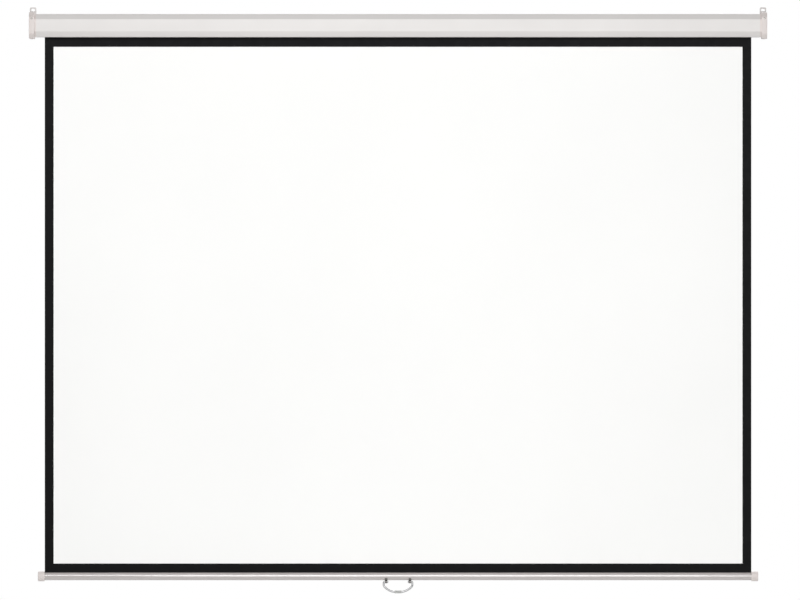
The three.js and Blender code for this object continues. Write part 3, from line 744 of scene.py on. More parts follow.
def screw_rule() -> GrowthRule:
    """A cross-headed screw on each point, its head facing along the point's outward attribute.

    The blank is a screw without its recess, head up along Z. Each screw stops at its own angle.

    Returns:
        The rule.
    """
    rule = GrowthRule("Cross-headed screws")
    blank = rule.size("Blank", "NodeSocketObject")
    arm = rule.size("Recess Arm")
    width = rule.size("Recess Width")
    depth = rule.size("Recess Depth")
    crown = rule.size("Crown Height")
    shape = rule.node("GeometryNodeObjectInfo", {"Object": blank})
    deep = rule.maths("MULTIPLY", depth, 2.0)  # half of a cutter stands above the head
    deeper = rule.maths("MULTIPLY", depth, 2.05)  # so that the two arms share no face
    cuts = []
    for across, along, down in ((arm, width, deep), (width, arm, deeper)):
        extent = rule.node("ShaderNodeCombineXYZ", {"X": across, "Y": along, "Z": down})
        cube = rule.node("GeometryNodeMeshCube", {"Size": extent.outputs["Vector"]})
        lift = rule.node("ShaderNodeCombineXYZ", {"Z": crown})
        raised = rule.node("GeometryNodeTransform", {
            "Geometry": cube.outputs["Mesh"], "Translation": lift.outputs["Vector"]})
        cuts.append(raised.outputs["Geometry"])
    recessed = rule.node(
        "GeometryNodeMeshBoolean", {"Mesh 1": shape.outputs["Geometry"]}, solver="EXACT")
    for cutter in cuts:
        rule.tree.links.new(cutter, recessed.inputs["Mesh 2"])
    outward = rule.node(
        "GeometryNodeInputNamedAttribute", {"Name": "outward"}, data_type="FLOAT_VECTOR")
    aimed = rule.node("FunctionNodeAlignRotationToVector", {
        "Vector": outward.outputs["Attribute"]}, axis="Z")
    angle = rule.node(
        "FunctionNodeRandomValue", {"Min": 0.0, "Max": math.tau, "Seed": STOP_SEED},
        data_type="FLOAT")
    twist = rule.node("FunctionNodeAxisAngleToRotation", {
        "Axis": (0.0, 0.0, 1.0),
        "Angle": next(socket for socket in angle.outputs if socket.enabled)})
    stopped = rule.node("FunctionNodeRotateRotation", {
        "Rotation": aimed.outputs["Rotation"], "Rotate By": twist.outputs["Rotation"]},
        rotation_space="LOCAL")
    placed = rule.node("GeometryNodeInstanceOnPoints", {
        "Points": rule.base, "Instance": recessed.outputs["Mesh"],
        "Rotation": stopped.outputs["Rotation"]})
    rule.close(placed.outputs["Instances"])
    return rule


# Finishes


class Shader(NodeWork):
    """A material's nodes, with the few steps that the finishes share."""

    def __init__(self, name: str) -> None:
        """Start a material.

        Args:
            name: Name of the material.
        """
        self.material = bpy.data.materials.new(name)
        self.material.use_nodes = True
        super().__init__(self.material.node_tree)
        self.surface = self.tree.nodes["Principled BSDF"]
        self.place = self.tree.nodes.new("ShaderNodeTexCoord").outputs["Object"]

    def stretched(self, scale: Point3) -> NodeSocket:
        """Object coordinates scaled on each axis, so that a pattern runs along the small ones."""
        return self.node("ShaderNodeMapping", {"Vector": self.place, "Scale": scale}).outputs["Vector"]

    def noise(self, size: float, detail: float = 2.0, place: NodeSocket | None = None) -> NodeSocket:
        """Soft noise.

        Args:
            size: Width of one blot, in metres.
            detail: How many finer layers lie over it.
            place: Where it is read, if not at the object coordinates.

        Returns:
            Its value, mostly from 0.3 to 0.7.
        """
        where = self.place if place is None else place
        inputs = {"Vector": where, "Scale": 1.0 / size, "Detail": detail}
        return self.node("ShaderNodeTexNoise", inputs).outputs["Fac"]

    def spread(self, value: NodeSocket, low: float, high: float) -> NodeSocket:
        """Spread noise over a range.

        Args:
            value: The noise.
            low: What its low places become.
            high: What its high places become.

        Returns:
            The spread value.
        """
        return self.node("ShaderNodeMapRange", {
            "Value": value, "From Min": NOISE_LOW, "From Max": NOISE_HIGH, "To Min": low,
            "To Max": high,
        }).outputs["Result"]

    def blend(self, share: NodeSocket, first: Colour, second: Colour) -> NodeSocket:
        """Blend two colours.

        Args:
            share: How much there is of the second, which varies over the surface.
            first: The first colour.
            second: The second colour.

        Returns:
            The blended colour.
        """
        mix = self.node("ShaderNodeMix", {"Factor": share}, data_type="RGBA")
        colours = [socket for socket in mix.inputs if socket.enabled and socket.type == "RGBA"]
        for socket, colour in zip(colours, (first, second)):
            socket.default_value = colour
        return next(socket for socket in mix.outputs if socket.enabled)

    def relief(self, height: NodeSocket, depth: float, under: NodeSocket | None = None) -> NodeSocket:
        """Raise and lower the surface.

        Args:
            height: Height, from 0 to 1.
            depth: How deep that is, in metres.
            under: Another relief that this one lies over.

        Returns:
            The surface's normal.
        """
        inputs: dict[str, Any] = {"Height": height, "Distance": depth, "Strength": 1.0}
        if under is not None:
            inputs["Normal"] = under
        return self.node("ShaderNodeBump", inputs).outputs["Normal"]

    def fix(self, **values: Any) -> None:
        """Set values that are the same all over, with _ for each space in a name."""
        for name, value in values.items():
            self.surface.inputs[name.replace("_", " ")].default_value = value

    def feed(self, **values: NodeSocket) -> None:
        """Feed what varies over the surface, with _ for each space in a name."""
        for name, value in values.items():
            self.tree.links.new(value, self.surface.inputs[name.replace("_", " ")])


@dataclass(frozen=True)
class Finish:
    """What every finish has: a name, a colour, and how rough it is and how far that varies."""

    name: str
    colour: Colour
    roughness: float
    roughness_spread: float = 0.05
    tone_share: float = 0.97  # of the colour's light, left where the surface is duller
    blot_size: float = 0.25  # width of one duller place
    fineness: float = 6.0  # how many times smaller a rougher place is than a duller one

    def make(self) -> Material:
        """Make the material.

        Returns:
            The material.
        """
        shader = Shader(self.name)
        dull = shader.spread(shader.noise(self.blot_size), 0.0, 1.0)
        shader.feed(Base_Color=shader.blend(dull, self.colour, toned(self.colour, self.tone_share)))
        low, high = self.roughness - self.roughness_spread, self.roughness + self.roughness_spread
        shader.feed(Roughness=shader.spread(shader.noise(self.blot_size / self.fineness), low, high))
        self.work(shader)
        return shader.material

    def work(self, shader: Shader) -> None:
        """Add what only this kind of finish has."""


@dataclass(frozen=True)
class PowderCoat(Finish):
    """Paint baked on sheet steel: a fine orange peel, over the faint lines of the rolls."""

    peel_size: float = 0.0015
    peel_depth: float = 0.00002
    line_size: float = 0.0035
    line_depth: float = 0.00003
    line_run_share: float = 0.004  # of the pattern's scale across the lines, along them
    gloss: float = 0.35

    def work(self, shader: Shader) -> None:
        """Add the rolls' lines along the metal and the peel over them.

        Args:
            shader: The material's nodes.
        """
        along = shader.stretched((self.line_run_share, 1.0, 1.0))
        lines = shader.relief(shader.noise(self.line_size, detail=1.0, place=along), self.line_depth)
        peel = shader.relief(shader.noise(self.peel_size), self.peel_depth, lines)
        shader.feed(Normal=peel)
        shader.fix(Specular_IOR_Level=self.gloss)


@dataclass(frozen=True)
class Moulding(Finish):
    """Moulded plastic with the fine grain of its mould."""

    grain_size: float = 0.0007
    grain_depth: float = 0.00002
    sink_size: float = 0.02
    sink_depth: float = 0.00012
    gloss: float = 0.35

    def work(self, shader: Shader) -> None:
        """Add the mould's grain and the faint sink of thick places.

        Args:
            shader: The material's nodes.
        """
        sink = shader.relief(shader.noise(self.sink_size, detail=1.0), self.sink_depth)
        grain = shader.noise(self.grain_size, detail=3.0)
        shader.feed(Normal=shader.relief(grain, self.grain_depth, sink))
        shader.fix(Specular_IOR_Level=self.gloss)


@dataclass(frozen=True)
class Enamel(Finish):
    """Glossy enamel on drawn tube, with a faint ripple along it."""

    ripple_size: float = 0.012
    ripple_depth: float = 0.00003
    ripple_run_share: float = 0.05  # of the pattern's scale across the tube, along it
    gloss: float = 0.8
    coat: float = 0.9
    coat_roughness: float = 0.06
    coat_ior: float = 1.7

    def work(self, shader: Shader) -> None:
        """Add the ripple and the clear top layer.

        Args:
            shader: The material's nodes.
        """
        along = shader.stretched((self.ripple_run_share, 1.0, 1.0))
        ripple = shader.noise(self.ripple_size, detail=1.0, place=along)
        shader.feed(Normal=shader.relief(ripple, self.ripple_depth))
        shader.fix(
            Specular_IOR_Level=self.gloss, Coat_Weight=self.coat,
            Coat_Roughness=self.coat_roughness, Coat_IOR=self.coat_ior)


@dataclass(frozen=True)
class Cloth(Finish):
    """Coated cloth: its threads show through the matt coat as a fine square grain."""

    thread: float = 0.0008  # from one thread to the next
    thread_depth: float = 0.00003
    thread_waver: float = 0.4  # how unevenly the threads run
    grain_size: float = 0.0004
    gloss: float = 0.12
    matt: float = 0.4  # how rough its diffuse light is

    def work(self, shader: Shader) -> None:
        """Add the threads both ways and the coat's own fine grain.

        Args:
            shader: The material's nodes.
        """
        ways = [
            shader.node("ShaderNodeTexWave", {
                "Vector": shader.place, "Scale": METRE_WAVE_SCALE / self.thread,
                "Distortion": self.thread_waver, "Detail": 1.0}, bands_direction=way).outputs["Fac"]
            for way in ("X", "Z")
        ]
        woven = shader.relief(shader.maths("ADD", *ways), self.thread_depth)
        shader.feed(Normal=shader.relief(shader.noise(self.grain_size), self.thread_depth, woven))
        shader.fix(Specular_IOR_Level=self.gloss, Diffuse_Roughness=self.matt)


@dataclass(frozen=True)
class Metal(Finish):
    """Bare or plated metal, with fine marks along the way that it was drawn or turned."""

    mark_size: float = 0.0006
    mark_depth: float = 0.000006
    run: Point3 = (0.03, 1.0, 1.0)  # the marks run along the axis with the small number
    rim: Colour = (1.0, 1.0, 1.0, 1.0)  # tint of what it mirrors where it turns away

    def work(self, shader: Shader) -> None:
        """Add the marks and make it metal.

        Args:
            shader: The material's nodes.
        """
        marks = shader.noise(self.mark_size, place=shader.stretched(self.run))
        shader.feed(Normal=shader.relief(marks, self.mark_depth))
        shader.fix(Metallic=1.0, Specular_Tint=self.rim)


@dataclass(frozen=True)
class Spangled(Metal):
    """Galvanized steel, with the spangle of its zinc."""

    crystal: float = 0.009
    crystal_share: float = 0.72  # of the colour's light, in the dullest crystals

    def work(self, shader: Shader) -> None:
        """Add the crystals, each of its own tone.

        Args:
            shader: The material's nodes.
        """
        super().work(shader)
        cells = shader.node(
            "ShaderNodeTexVoronoi", {"Vector": shader.place, "Scale": 1.0 / self.crystal})
        tone = shader.node("ShaderNodeSeparateColor", {"Color": cells.outputs["Color"]}).outputs["Red"]
        shader.feed(
            Base_Color=shader.blend(tone, self.colour, toned(self.colour, self.crystal_share)))


FINISHES: dict[str, Finish] = {
    "casing_paint": PowderCoat("casing powder coat", shade(221, 218, 216), 0.36),
    "cap_plastic": Moulding("cap moulding", shade(217, 209, 206), 0.42),
    "bracket_paint": PowderCoat("bracket powder coat", shade(204, 200, 198), 0.4, line_depth=0.00001),
    "screw_steel": Metal(
        "zinc plated screws", shade(150, 148, 144), 0.32, run=(1.0, 1.0, 1.0),
        rim=shade(120, 118, 115)),
    "inner_steel": Spangled(
        "galvanized steel", shade(160, 162, 165), 0.38, rim=shade(150, 152, 155)),
    "spring_steel": Metal("oiled spring steel", shade(120, 121, 124), 0.34, tone_share=0.8),
    "nylon": Moulding("natural nylon", shade(236, 233, 224), 0.45, gloss=0.4),
    "pawl_brass": Metal("bare brass", shade(206, 174, 112), 0.3, tone_share=0.85, blot_size=0.01),
    "white_fabric": Cloth(
        "matt white coated cloth", shade(251, 251, 250), 0.85, tone_share=0.985, blot_size=0.6),
    "black_backing": Cloth("matt black backing", shade(28, 28, 29), 0.8, tone_share=0.8, gloss=0.2),
    "black_coat": Cloth(
        "matt black border coat", shade(9, 9, 10), 0.45, tone_share=0.75, blot_size=0.12,
        thread_depth=0.00002, gloss=0.06),
    "bar_enamel": Enamel("bar enamel", shade(172, 165, 163), 0.16),
    "clip_steel": Metal(
        "dark zinc plated clips", shade(104, 102, 100), 0.3, rim=shade(60, 59, 58)),
    "handle_chrome": Metal(
        "polished wire", shade(148, 148, 149), 0.12, mark_depth=0.000002, rim=shade(40, 41, 42)),
    "grip_plastic": Moulding("grip plastic", shade(176, 177, 175), 0.35, gloss=0.45),
}


class Palette:
    """The finishes, each made once."""

    def __init__(self, finishes: dict[str, Finish]) -> None:
        """Make every finish."""
        self._made = {slot: finish.make() for slot, finish in finishes.items()}

    def __getitem__(self, slot: str) -> Material:
        """The material for one of the record's slots."""
        return self._made[slot]


# The casing and what is fixed to it


@dataclass
class Casing:
    """The roll-formed octagonal channel that the screen winds up into."""

    palette: Palette
    strips: GrowthRule
    wall: float = 0.0012
    nose: float = 0.016  # the two front chamfers
    heel: float = 0.006  # the two back chamfers
    slot_width: float = 0.018
    lip_height: float = 0.006
    bend_radius: float = 0.0016  # to the middle of the sheet steel
    bend_steps: int = 5

    def centreline(self) -> list[Point3]:
        """The middle of the sheet steel round the section, from lip to lip.

        Returns:
            Its corners, drawn with the section's Y and Z in X and Y.
        """
        low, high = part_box("casing_shell")
        half = self.wall / 2
        shorter = half * CHAMFER_SHORTENING_SHARE
        front, back = low[1] + half, high[1] - half
        bottom, top = low[2] + half, high[2] - half
        corners = octagon(front, back, bottom, top, self.nose - shorter, self.heel - shorter)
        slot = middle("screen_fabric").y
        reach = self.slot_width / 2 + half
        lip_top = low[2] + self.lip_height
        path = [
            (slot - reach, lip_top), (slot - reach, bottom), *corners,
            (slot + reach, bottom), (slot + reach, lip_top),
        ]
        return [(y, z, 0.0) for y, z in path]

    def build(self) -> None:
        """Make the channel."""
        low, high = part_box("casing_shell")
        shell = self.strips.grow(
            "casing_channel", chain("casing_section", self.centreline()),
            Width=high[0] - low[0], Thickness=self.wall, Bend_Radius=self.bend_radius,
            Bend_Steps=self.bend_steps, Finish=self.palette["casing_paint"])
        softened(shell)
        seated(shell, "casing", "casing_paint", "casing_shell")


@dataclass
class EndCaps:
    """The moulded blocks that close the casing and carry the roller."""

    palette: Palette
    casing: Casing
    neck_length: float = 0.005
    neck_inset: float = 0.0006
    block_length: float = 0.016
    block_chamfer: float = 0.015
    block_edge: float = 0.0016  # rounding of the block's edges
    boss_sides: int = 64
    spigot_wall: float = 0.0025
    back_wall: float = 0.0105
    end_wall: float = 0.004
    boss_radius: float = 0.011
    boss_length: float = 0.023
    plate_edge: float = 0.0005
    plate_width: float = 0.019
    plate_thickness: float = 0.002
    plate_drop: float = 0.028
    screw_heights: tuple[float, float] = (-0.015, 0.022)
    front_screw_height: float = 0.021
    screw_length: float = 0.008
    screw_radius: float = 0.0016
    tongue_width: float = 0.010
    tongue_height: float = 0.005
    tongue_length: float = 0.0205
    bush_radius: float = 0.007
    bush_length: float = 0.020

    def section(self, inset: float, back_inset: float | None = None) -> list[Point2]:
        """The casing's section, drawn in.

        Args:
            inset: How far it is drawn in.
            back_inset: How far its back is drawn in, if not by the inset.

        Returns:
            Its corners, as (y, z) points.
        """
        low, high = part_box("casing_shell")
        shorter = inset * CHAMFER_SHORTENING_SHARE
        return octagon(
            low[1] + inset, high[1] - (inset if back_inset is None else back_inset),
            low[2] + inset, high[2] - inset,
            self.casing.nose - shorter, self.casing.heel - shorter)

    def body(self) -> Object:
        """The right-hand cap before its pockets are cut.

        Returns:
            The cap.
        """
        low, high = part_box("end_cap_right")
        end = high[0]
        neck_end = end - self.block_length
        casing_end = neck_end - self.neck_length
        seat = self.casing.wall + SEAT_GAP
        outline = octagon(low[1], high[1], low[2], high[2], self.block_chamfer, self.casing.heel)
        block = eased(prism("cap_block", outline, Axis.X, neck_end, end), self.block_edge, segments=4)
        neck = prism("cap_neck", self.section(self.neck_inset), Axis.X, casing_end, neck_end + OVERRUN)
        spigot = prism("cap_spigot", self.section(seat), Axis.X, low[0], casing_end + OVERRUN)
        combined(block, [neck, spigot], Joining.UNION)
        hollow = prism(
            "cap_hollow", self.section(seat + self.spigot_wall, self.back_wall), Axis.X,
            low[0] - OVERRUN, end - self.end_wall)
        slot = middle("screen_fabric").y
        reach = seat + self.casing.slot_width / 2
        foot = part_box("casing_shell")[0][2]
        lips = slab(
            "lip_room", (low[0] - OVERRUN, slot - reach, foot - OVERRUN),
            (casing_end, slot + reach, foot + self.casing.lip_height + SEAT_GAP))
        combined(block, [hollow, lips], Joining.DIFFERENCE)
        axle = middle("roller_tube")
        boss_end = end - self.end_wall / 2
        boss_start = end - self.end_wall - self.boss_length
        profile = rod_profile(self.boss_radius, boss_start, boss_end)
        boss = turned("cap_boss", profile, Axis.X, (axle.y, axle.z), self.boss_sides)
        return combined(block, [boss], Joining.UNION)

    def pockets(self) -> list[Object]:
        """What is cut out of every cap: the plate's seat and the screws' holes.

        Returns:
            Their shapes, for the right-hand cap.
        """
        low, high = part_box("end_cap_right")
        outer = high[0] - self.plate_edge
        inner = outer - self.plate_width
        seat = slab(
            "plate_seat",
            (inner - SEAT_GAP, -self.plate_thickness - SEAT_GAP, -self.plate_drop - SEAT_GAP),
            (outer + SEAT_GAP, OVERRUN, high[2] + OVERRUN))
        bore = self.screw_radius + SEAT_GAP
        deep = self.screw_length + SEAT_GAP
        across = outer - self.plate_width / 2
        places = [(across, height, -deep, OVERRUN) for height in self.screw_heights]
        front = low[1]
        places.append(
            (high[0] - self.block_length / 2, self.front_screw_height, front - OVERRUN, front + deep))
        holes = [
            turned("screw_hole", rod_profile(bore, near, far), Axis.Y, (x, z), HOLE_SIDES)
            for x, z, near, far in places
        ]
        return [seat, *holes]

    def socket(self, side: Side) -> Object:
        """The boss's socket: for the shaft's flat tongue on the left, for the bush on the right.

        Args:
            side: Which end it is at.

        Returns:
            Its shape, as cut into a right-hand cap.
        """
        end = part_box("end_cap_right")[1][0]
        axle = middle("roller_tube")
        start = end - self.end_wall - self.boss_length
        if side is Side.LEFT:
            half = (self.tongue_width / 2 + SEAT_GAP, self.tongue_height / 2 + SEAT_GAP)
            return slab(
                "tongue_socket", (start - OVERRUN, axle.y - half[0], axle.z - half[1]),
                (start + self.tongue_length, axle.y + half[0], axle.z + half[1]))
        bore = self.bush_radius + SEAT_GAP
        far = start + self.bush_length + SEAT_GAP
        profile = rod_profile(bore, start - OVERRUN, far)
        return turned("bush_socket", profile, Axis.X, (axle.y, axle.z), self.boss_sides)

    def build(self) -> None:
        """Make both caps."""
        for side in Side:
            cap = combined(self.body(), [*self.pockets(), self.socket(side)], Joining.DIFFERENCE)
            cap.name = f"end_cap_moulding_{side.word}"
            if side is Side.LEFT:
                mirrored(cap)
            dressed(softened(cap), self.palette["cap_plastic"])
            seated(cap, "casing", "cap_plastic", f"end_cap_{side.word}")


@dataclass
class Brackets:
    """The steel plates in the caps' backs, each with an ear and an oblong hole above the cap."""

    palette: Palette
    caps: EndCaps
    corner: float = 0.004
    hole_length: float = 0.012
    hole_height: float = 0.007
    hole_below_top: float = 0.008
    edge: float = 0.0003
    head_radius: float = 0.0032
    countersink: float = 0.0014

    def plate(self, side: Side) -> Object:
        """One plate, with its edges eased and its holes cut.

        Args:
            side: Which end it is at.

        Returns:
            The plate.
        """
        low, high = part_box("hanging_bracket_right")
        left, right, top = low[0], high[0], high[2]
        centre, round_z = (left + right) / 2, top - self.corner
        outline = [
            (left, low[2]), (right, low[2]),
            *arc(right - self.corner, round_z, self.corner, 0.0, math.pi / 2, steps=10),
            *arc(left + self.corner, round_z, self.corner, math.pi / 2, math.pi, steps=10),
        ]
        plate = eased(prism("plate", outline, Axis.Y, low[1], high[1]), self.edge, segments=2)
        radius = self.hole_height / 2
        reach = self.hole_length / 2 - radius
        hole_z = top - self.hole_below_top
        hole = [
            *arc(centre + reach, hole_z, radius, -math.pi / 2, math.pi / 2, steps=16),
            *arc(centre - reach, hole_z, radius, math.pi / 2, 1.5 * math.pi, steps=16),
        ]
        tools = [prism("ear_hole", hole, Axis.Y, low[1] - OVERRUN, high[1] + OVERRUN)]
        wide, narrow = self.head_radius + SEAT_GAP, self.caps.screw_radius + SEAT_GAP
        neck = -SEAT_GAP - self.countersink
        profile = [
            (0.0, low[1] - OVERRUN), (narrow, low[1] - OVERRUN), (narrow, neck),
            (wide, -SEAT_GAP), (wide, OVERRUN), (0.0, OVERRUN),
        ]
        for height in self.caps.screw_heights:
            tools.append(turned("countersink", profile, Axis.Y, (centre, height), sides=32))
        combined(plate, tools, Joining.DIFFERENCE)
        plate.name = f"hanging_plate_{side.word}"
        return mirrored(plate) if side is Side.LEFT else plate

    def build(self) -> None:
        """Make both plates."""
        for side in Side:
            plate = dressed(softened(self.plate(side)), self.palette["bracket_paint"])
            seated(plate, "casing", "bracket_paint", f"hanging_bracket_{side.word}")


class Head(Enum):
    """The two kinds of screw head."""

    PAN = "pan"
    COUNTERSUNK = "countersunk"


@dataclass
class Screws:
    """Cross-headed screws, all of one size, with pan or countersunk heads."""

    palette: Palette
    rule: GrowthRule
    shank_radius: float = 0.0016
    length: float = 0.008
    head_radius: float = 0.0032
    head_height: float = 0.0018
    countersink: float = 0.0014
    recess_arm: float = 0.0034
    recess_width: float = 0.0007
    recess_depth: float = 0.0009
    dome_power: float = 0.6  # below 1, the pan head's top is flatter than a ball
    sides: int = 32

    def blank(self, head: Head) -> Object:
        """A screw without its recess, seated at the origin with its head up along Z.

        Args:
            head: Its kind of head.

        Returns:
            The blank.
        """
        if head is Head.PAN:
            dome = arc(0.0, 0.0, 1.0, 0.0, math.pi / 2, steps=8)
            crown = [
                (self.head_radius * across, self.head_height * up ** self.dome_power)
                for across, up in dome
            ]
            profile = [
                (0.0, -self.length), (self.shank_radius, -self.length), (self.shank_radius, 0.0),
                *crown,
            ]
        else:
            profile = [
                (0.0, -self.length), (self.shank_radius, -self.length),
                (self.shank_radius, -self.countersink), (self.head_radius, 0.0), (0.0, 0.0),
            ]
        return turned("screw_blank", profile, Axis.Z, (0.0, 0.0), self.sides)

    def set_in(
        self, name: str, body: str, head: Head, seats: Sequence[Seat], *nodes: str,
    ) -> None:
        """Make a body's screws as one piece.

        Args:
            name: Name of the piece.
            body: The body that carries them.
            head: Their kind of head.
            seats: Where each one's head seats, and the direction that it faces.
            *nodes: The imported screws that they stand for.
        """
        points = bpy.data.meshes.new(f"{name}_seats")
        points.from_pydata([place for place, _ in seats], [], [])
        outward = points.attributes.new("outward", "FLOAT_VECTOR", "POINT")
        for item, (_, facing) in zip(outward.data, seats):
            item.vector = facing
        blank = self.blank(head)
        screws = self.rule.grow(
            name, points, Blank=blank, Recess_Arm=self.recess_arm, Recess_Width=self.recess_width,
            Recess_Depth=self.recess_depth, Crown_Height=self.head_height if head is Head.PAN else 0.0,
            Finish=self.palette["screw_steel"])
        bpy.data.objects.remove(blank)
        softened(screws)
        seated(screws, body, "screw_steel", *nodes)

    def build(self, caps: EndCaps) -> None:
        """Set the screws of the caps and of the hanging plates.

        Args:
            caps: The caps that they go into.
        """
        low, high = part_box("end_cap_right")
        face = (0.0, -1.0, 0.0)
        across = high[0] - caps.block_length / 2
        fronts = [
            ((side.value * across, low[1] - SEAT_GAP, caps.front_screw_height), face) for side in Side]
        self.set_in("cap_screws", "casing", Head.PAN, fronts, "cap_screw_left", "cap_screw_right")
        across = high[0] - caps.plate_edge - caps.plate_width / 2
        backs = [
            ((side.value * across, -SEAT_GAP, height), (0.0, 1.0, 0.0))
            for side in Side for height in caps.screw_heights
        ]
        nodes = [
            f"bracket_screw_{side.word}_{level}" for side in Side for level in ("lower", "upper")]
        self.set_in("plate_screws", "casing", Head.COUNTERSUNK, backs, *nodes)


# The roller and its spring motor


@dataclass
class Roller:
    """The tube that the screen winds onto, with its plugs and the turns that stay on it."""

    palette: Palette
    strips: GrowthRule
    caps: EndCaps
    wall: float = 0.0012
    seam_depth: float = 0.0004
    seam_width: float = 0.0008
    flange: float = 0.005  # of each plug, against the tube's end
    plug_edge: float = 0.0005
    pin_radius: float = 0.004
    pin_edge: float = 0.0006
    shaft_radius: float = 0.005
    bush_flange: float = 0.0015
    bush_flange_radius: float = 0.009
    bush_edge: float = 0.0003
    pivot_radius: float = 0.0015
    pivot_depth: float = 0.004
    wraps: int = 2
    wrap_pitch: float = 0.0009
    wrap_steps: int = 180
    cloth: float = 0.00045

    def __post_init__(self) -> None:
        """Take the tube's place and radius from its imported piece."""
        low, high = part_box("roller_tube")
        self.axle = middle("roller_tube")
        self.radius = (high[2] - low[2]) / 2
        self.fitting_radius = self.radius - self.wall - SEAT_GAP  # of what fits inside the tube

    def tube(self) -> None:
        """The steel tube, with the lengthwise seam that it was rolled to."""
        low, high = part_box("roller_tube")
        profile = ring_profile(self.radius - self.wall, self.radius, low[0], high[0])
        tube = turned("roller_tube_steel", profile, Axis.X, (self.axle.y, self.axle.z), sides=96)
        half, top = self.seam_width / 2, self.axle.z + self.radius
        groove = slab(
            "seam", (low[0] - OVERRUN, self.axle.y - half, top - self.seam_depth),
            (high[0] + OVERRUN, self.axle.y + half, top + OVERRUN))
        combined(tube, [groove], Joining.DIFFERENCE)
        dressed(softened(tube), self.palette["inner_steel"])
        seated(tube, "roller", "inner_steel", "roller_tube")

    def plug(self, side: Side) -> None:
        """The plug in one end: a body in the tube and a flange against it. The left holds the pawls.

        Args:
            side: Which end it is at.
        """
        node = f"roller_plug_{side.word}"
        low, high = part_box(node)
        inner, outer = (low[0], high[0]) if side is Side.RIGHT else (high[0], low[0])
        rim = outer - side.value * self.flange
        bore = SEAT_GAP + (self.pin_radius if side is Side.RIGHT else self.shaft_radius)
        body = self.fitting_radius
        plug = lathed(node, [
            (bore, inner), (body, inner), (body, rim), (self.radius, rim), (self.radius, outer),
            (bore, outer), (bore, inner)], self.plug_edge)
        if side is Side.LEFT:
            profile = rod_profile(
                self.pivot_radius + SEAT_GAP, outer - OVERRUN, outer + self.pivot_depth + SEAT_GAP)
            pivots = [middle("pawl_pivot_upper"), middle("pawl_pivot_lower")]
            holes = [
                turned("pivot_hole", profile, Axis.X, (at.y, at.z), HOLE_SIDES) for at in pivots]
            softened(combined(plug, holes, Joining.DIFFERENCE))
        seated(dressed(plug, self.palette["nylon"]), "roller", "nylon", node)

    def gudgeon(self) -> None:
        """The pin at the right-hand end and the flanged bush that it turns in."""
        low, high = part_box("gudgeon_pin")
        pin = lathed("gudgeon_pin", rod_profile(self.pin_radius, low[0], high[0]), self.pin_edge)
        seated(dressed(pin, self.palette["inner_steel"]), "roller", "inner_steel", "gudgeon_pin")
        low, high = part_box("gudgeon_bush")
        bore, seat = self.pin_radius + SEAT_GAP, low[0] + self.bush_flange
        outer, wide = self.caps.bush_radius, self.bush_flange_radius
        bush = lathed("gudgeon_bush", [
            (bore, low[0]), (wide, low[0]), (wide, seat), (outer, seat), (outer, high[0]),
            (bore, high[0]), (bore, low[0])], self.bush_edge)
        seated(dressed(bush, self.palette["nylon"]), "casing", "nylon", "gudgeon_bush")

    def turns(self) -> None:
        """The turns of cloth that stay on the roller, spiralling in from where the sheet leaves it."""
        low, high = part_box("fabric_wraps")
        outer = high[1] - self.axle.y - self.cloth / 2
        path = []
        for step in range(self.wraps * self.wrap_steps + 1):
            turn = step / self.wrap_steps
            radius = outer - turn * self.wrap_pitch
            angle = turn * math.tau
            path.append((
                self.axle.y + radius * math.cos(angle), self.axle.z + radius * math.sin(angle), 0.0))
        wraps = self.strips.grow(
            "wound_cloth", chain("wound_section", path), Width=high[0] - low[0], Thickness=self.cloth,
            Bend_Radius=0.0, Bend_Steps=1, Finish=self.palette["black_backing"])
        softened(wraps, crease=60)
        seated(wraps, "roller", "black_backing", "fabric_wraps")

    def build(self) -> None:
        """Make the roller and what it turns on at its right-hand end."""
        self.tube()
        for side in Side:
            self.plug(side)
        self.gudgeon()
        self.turns()


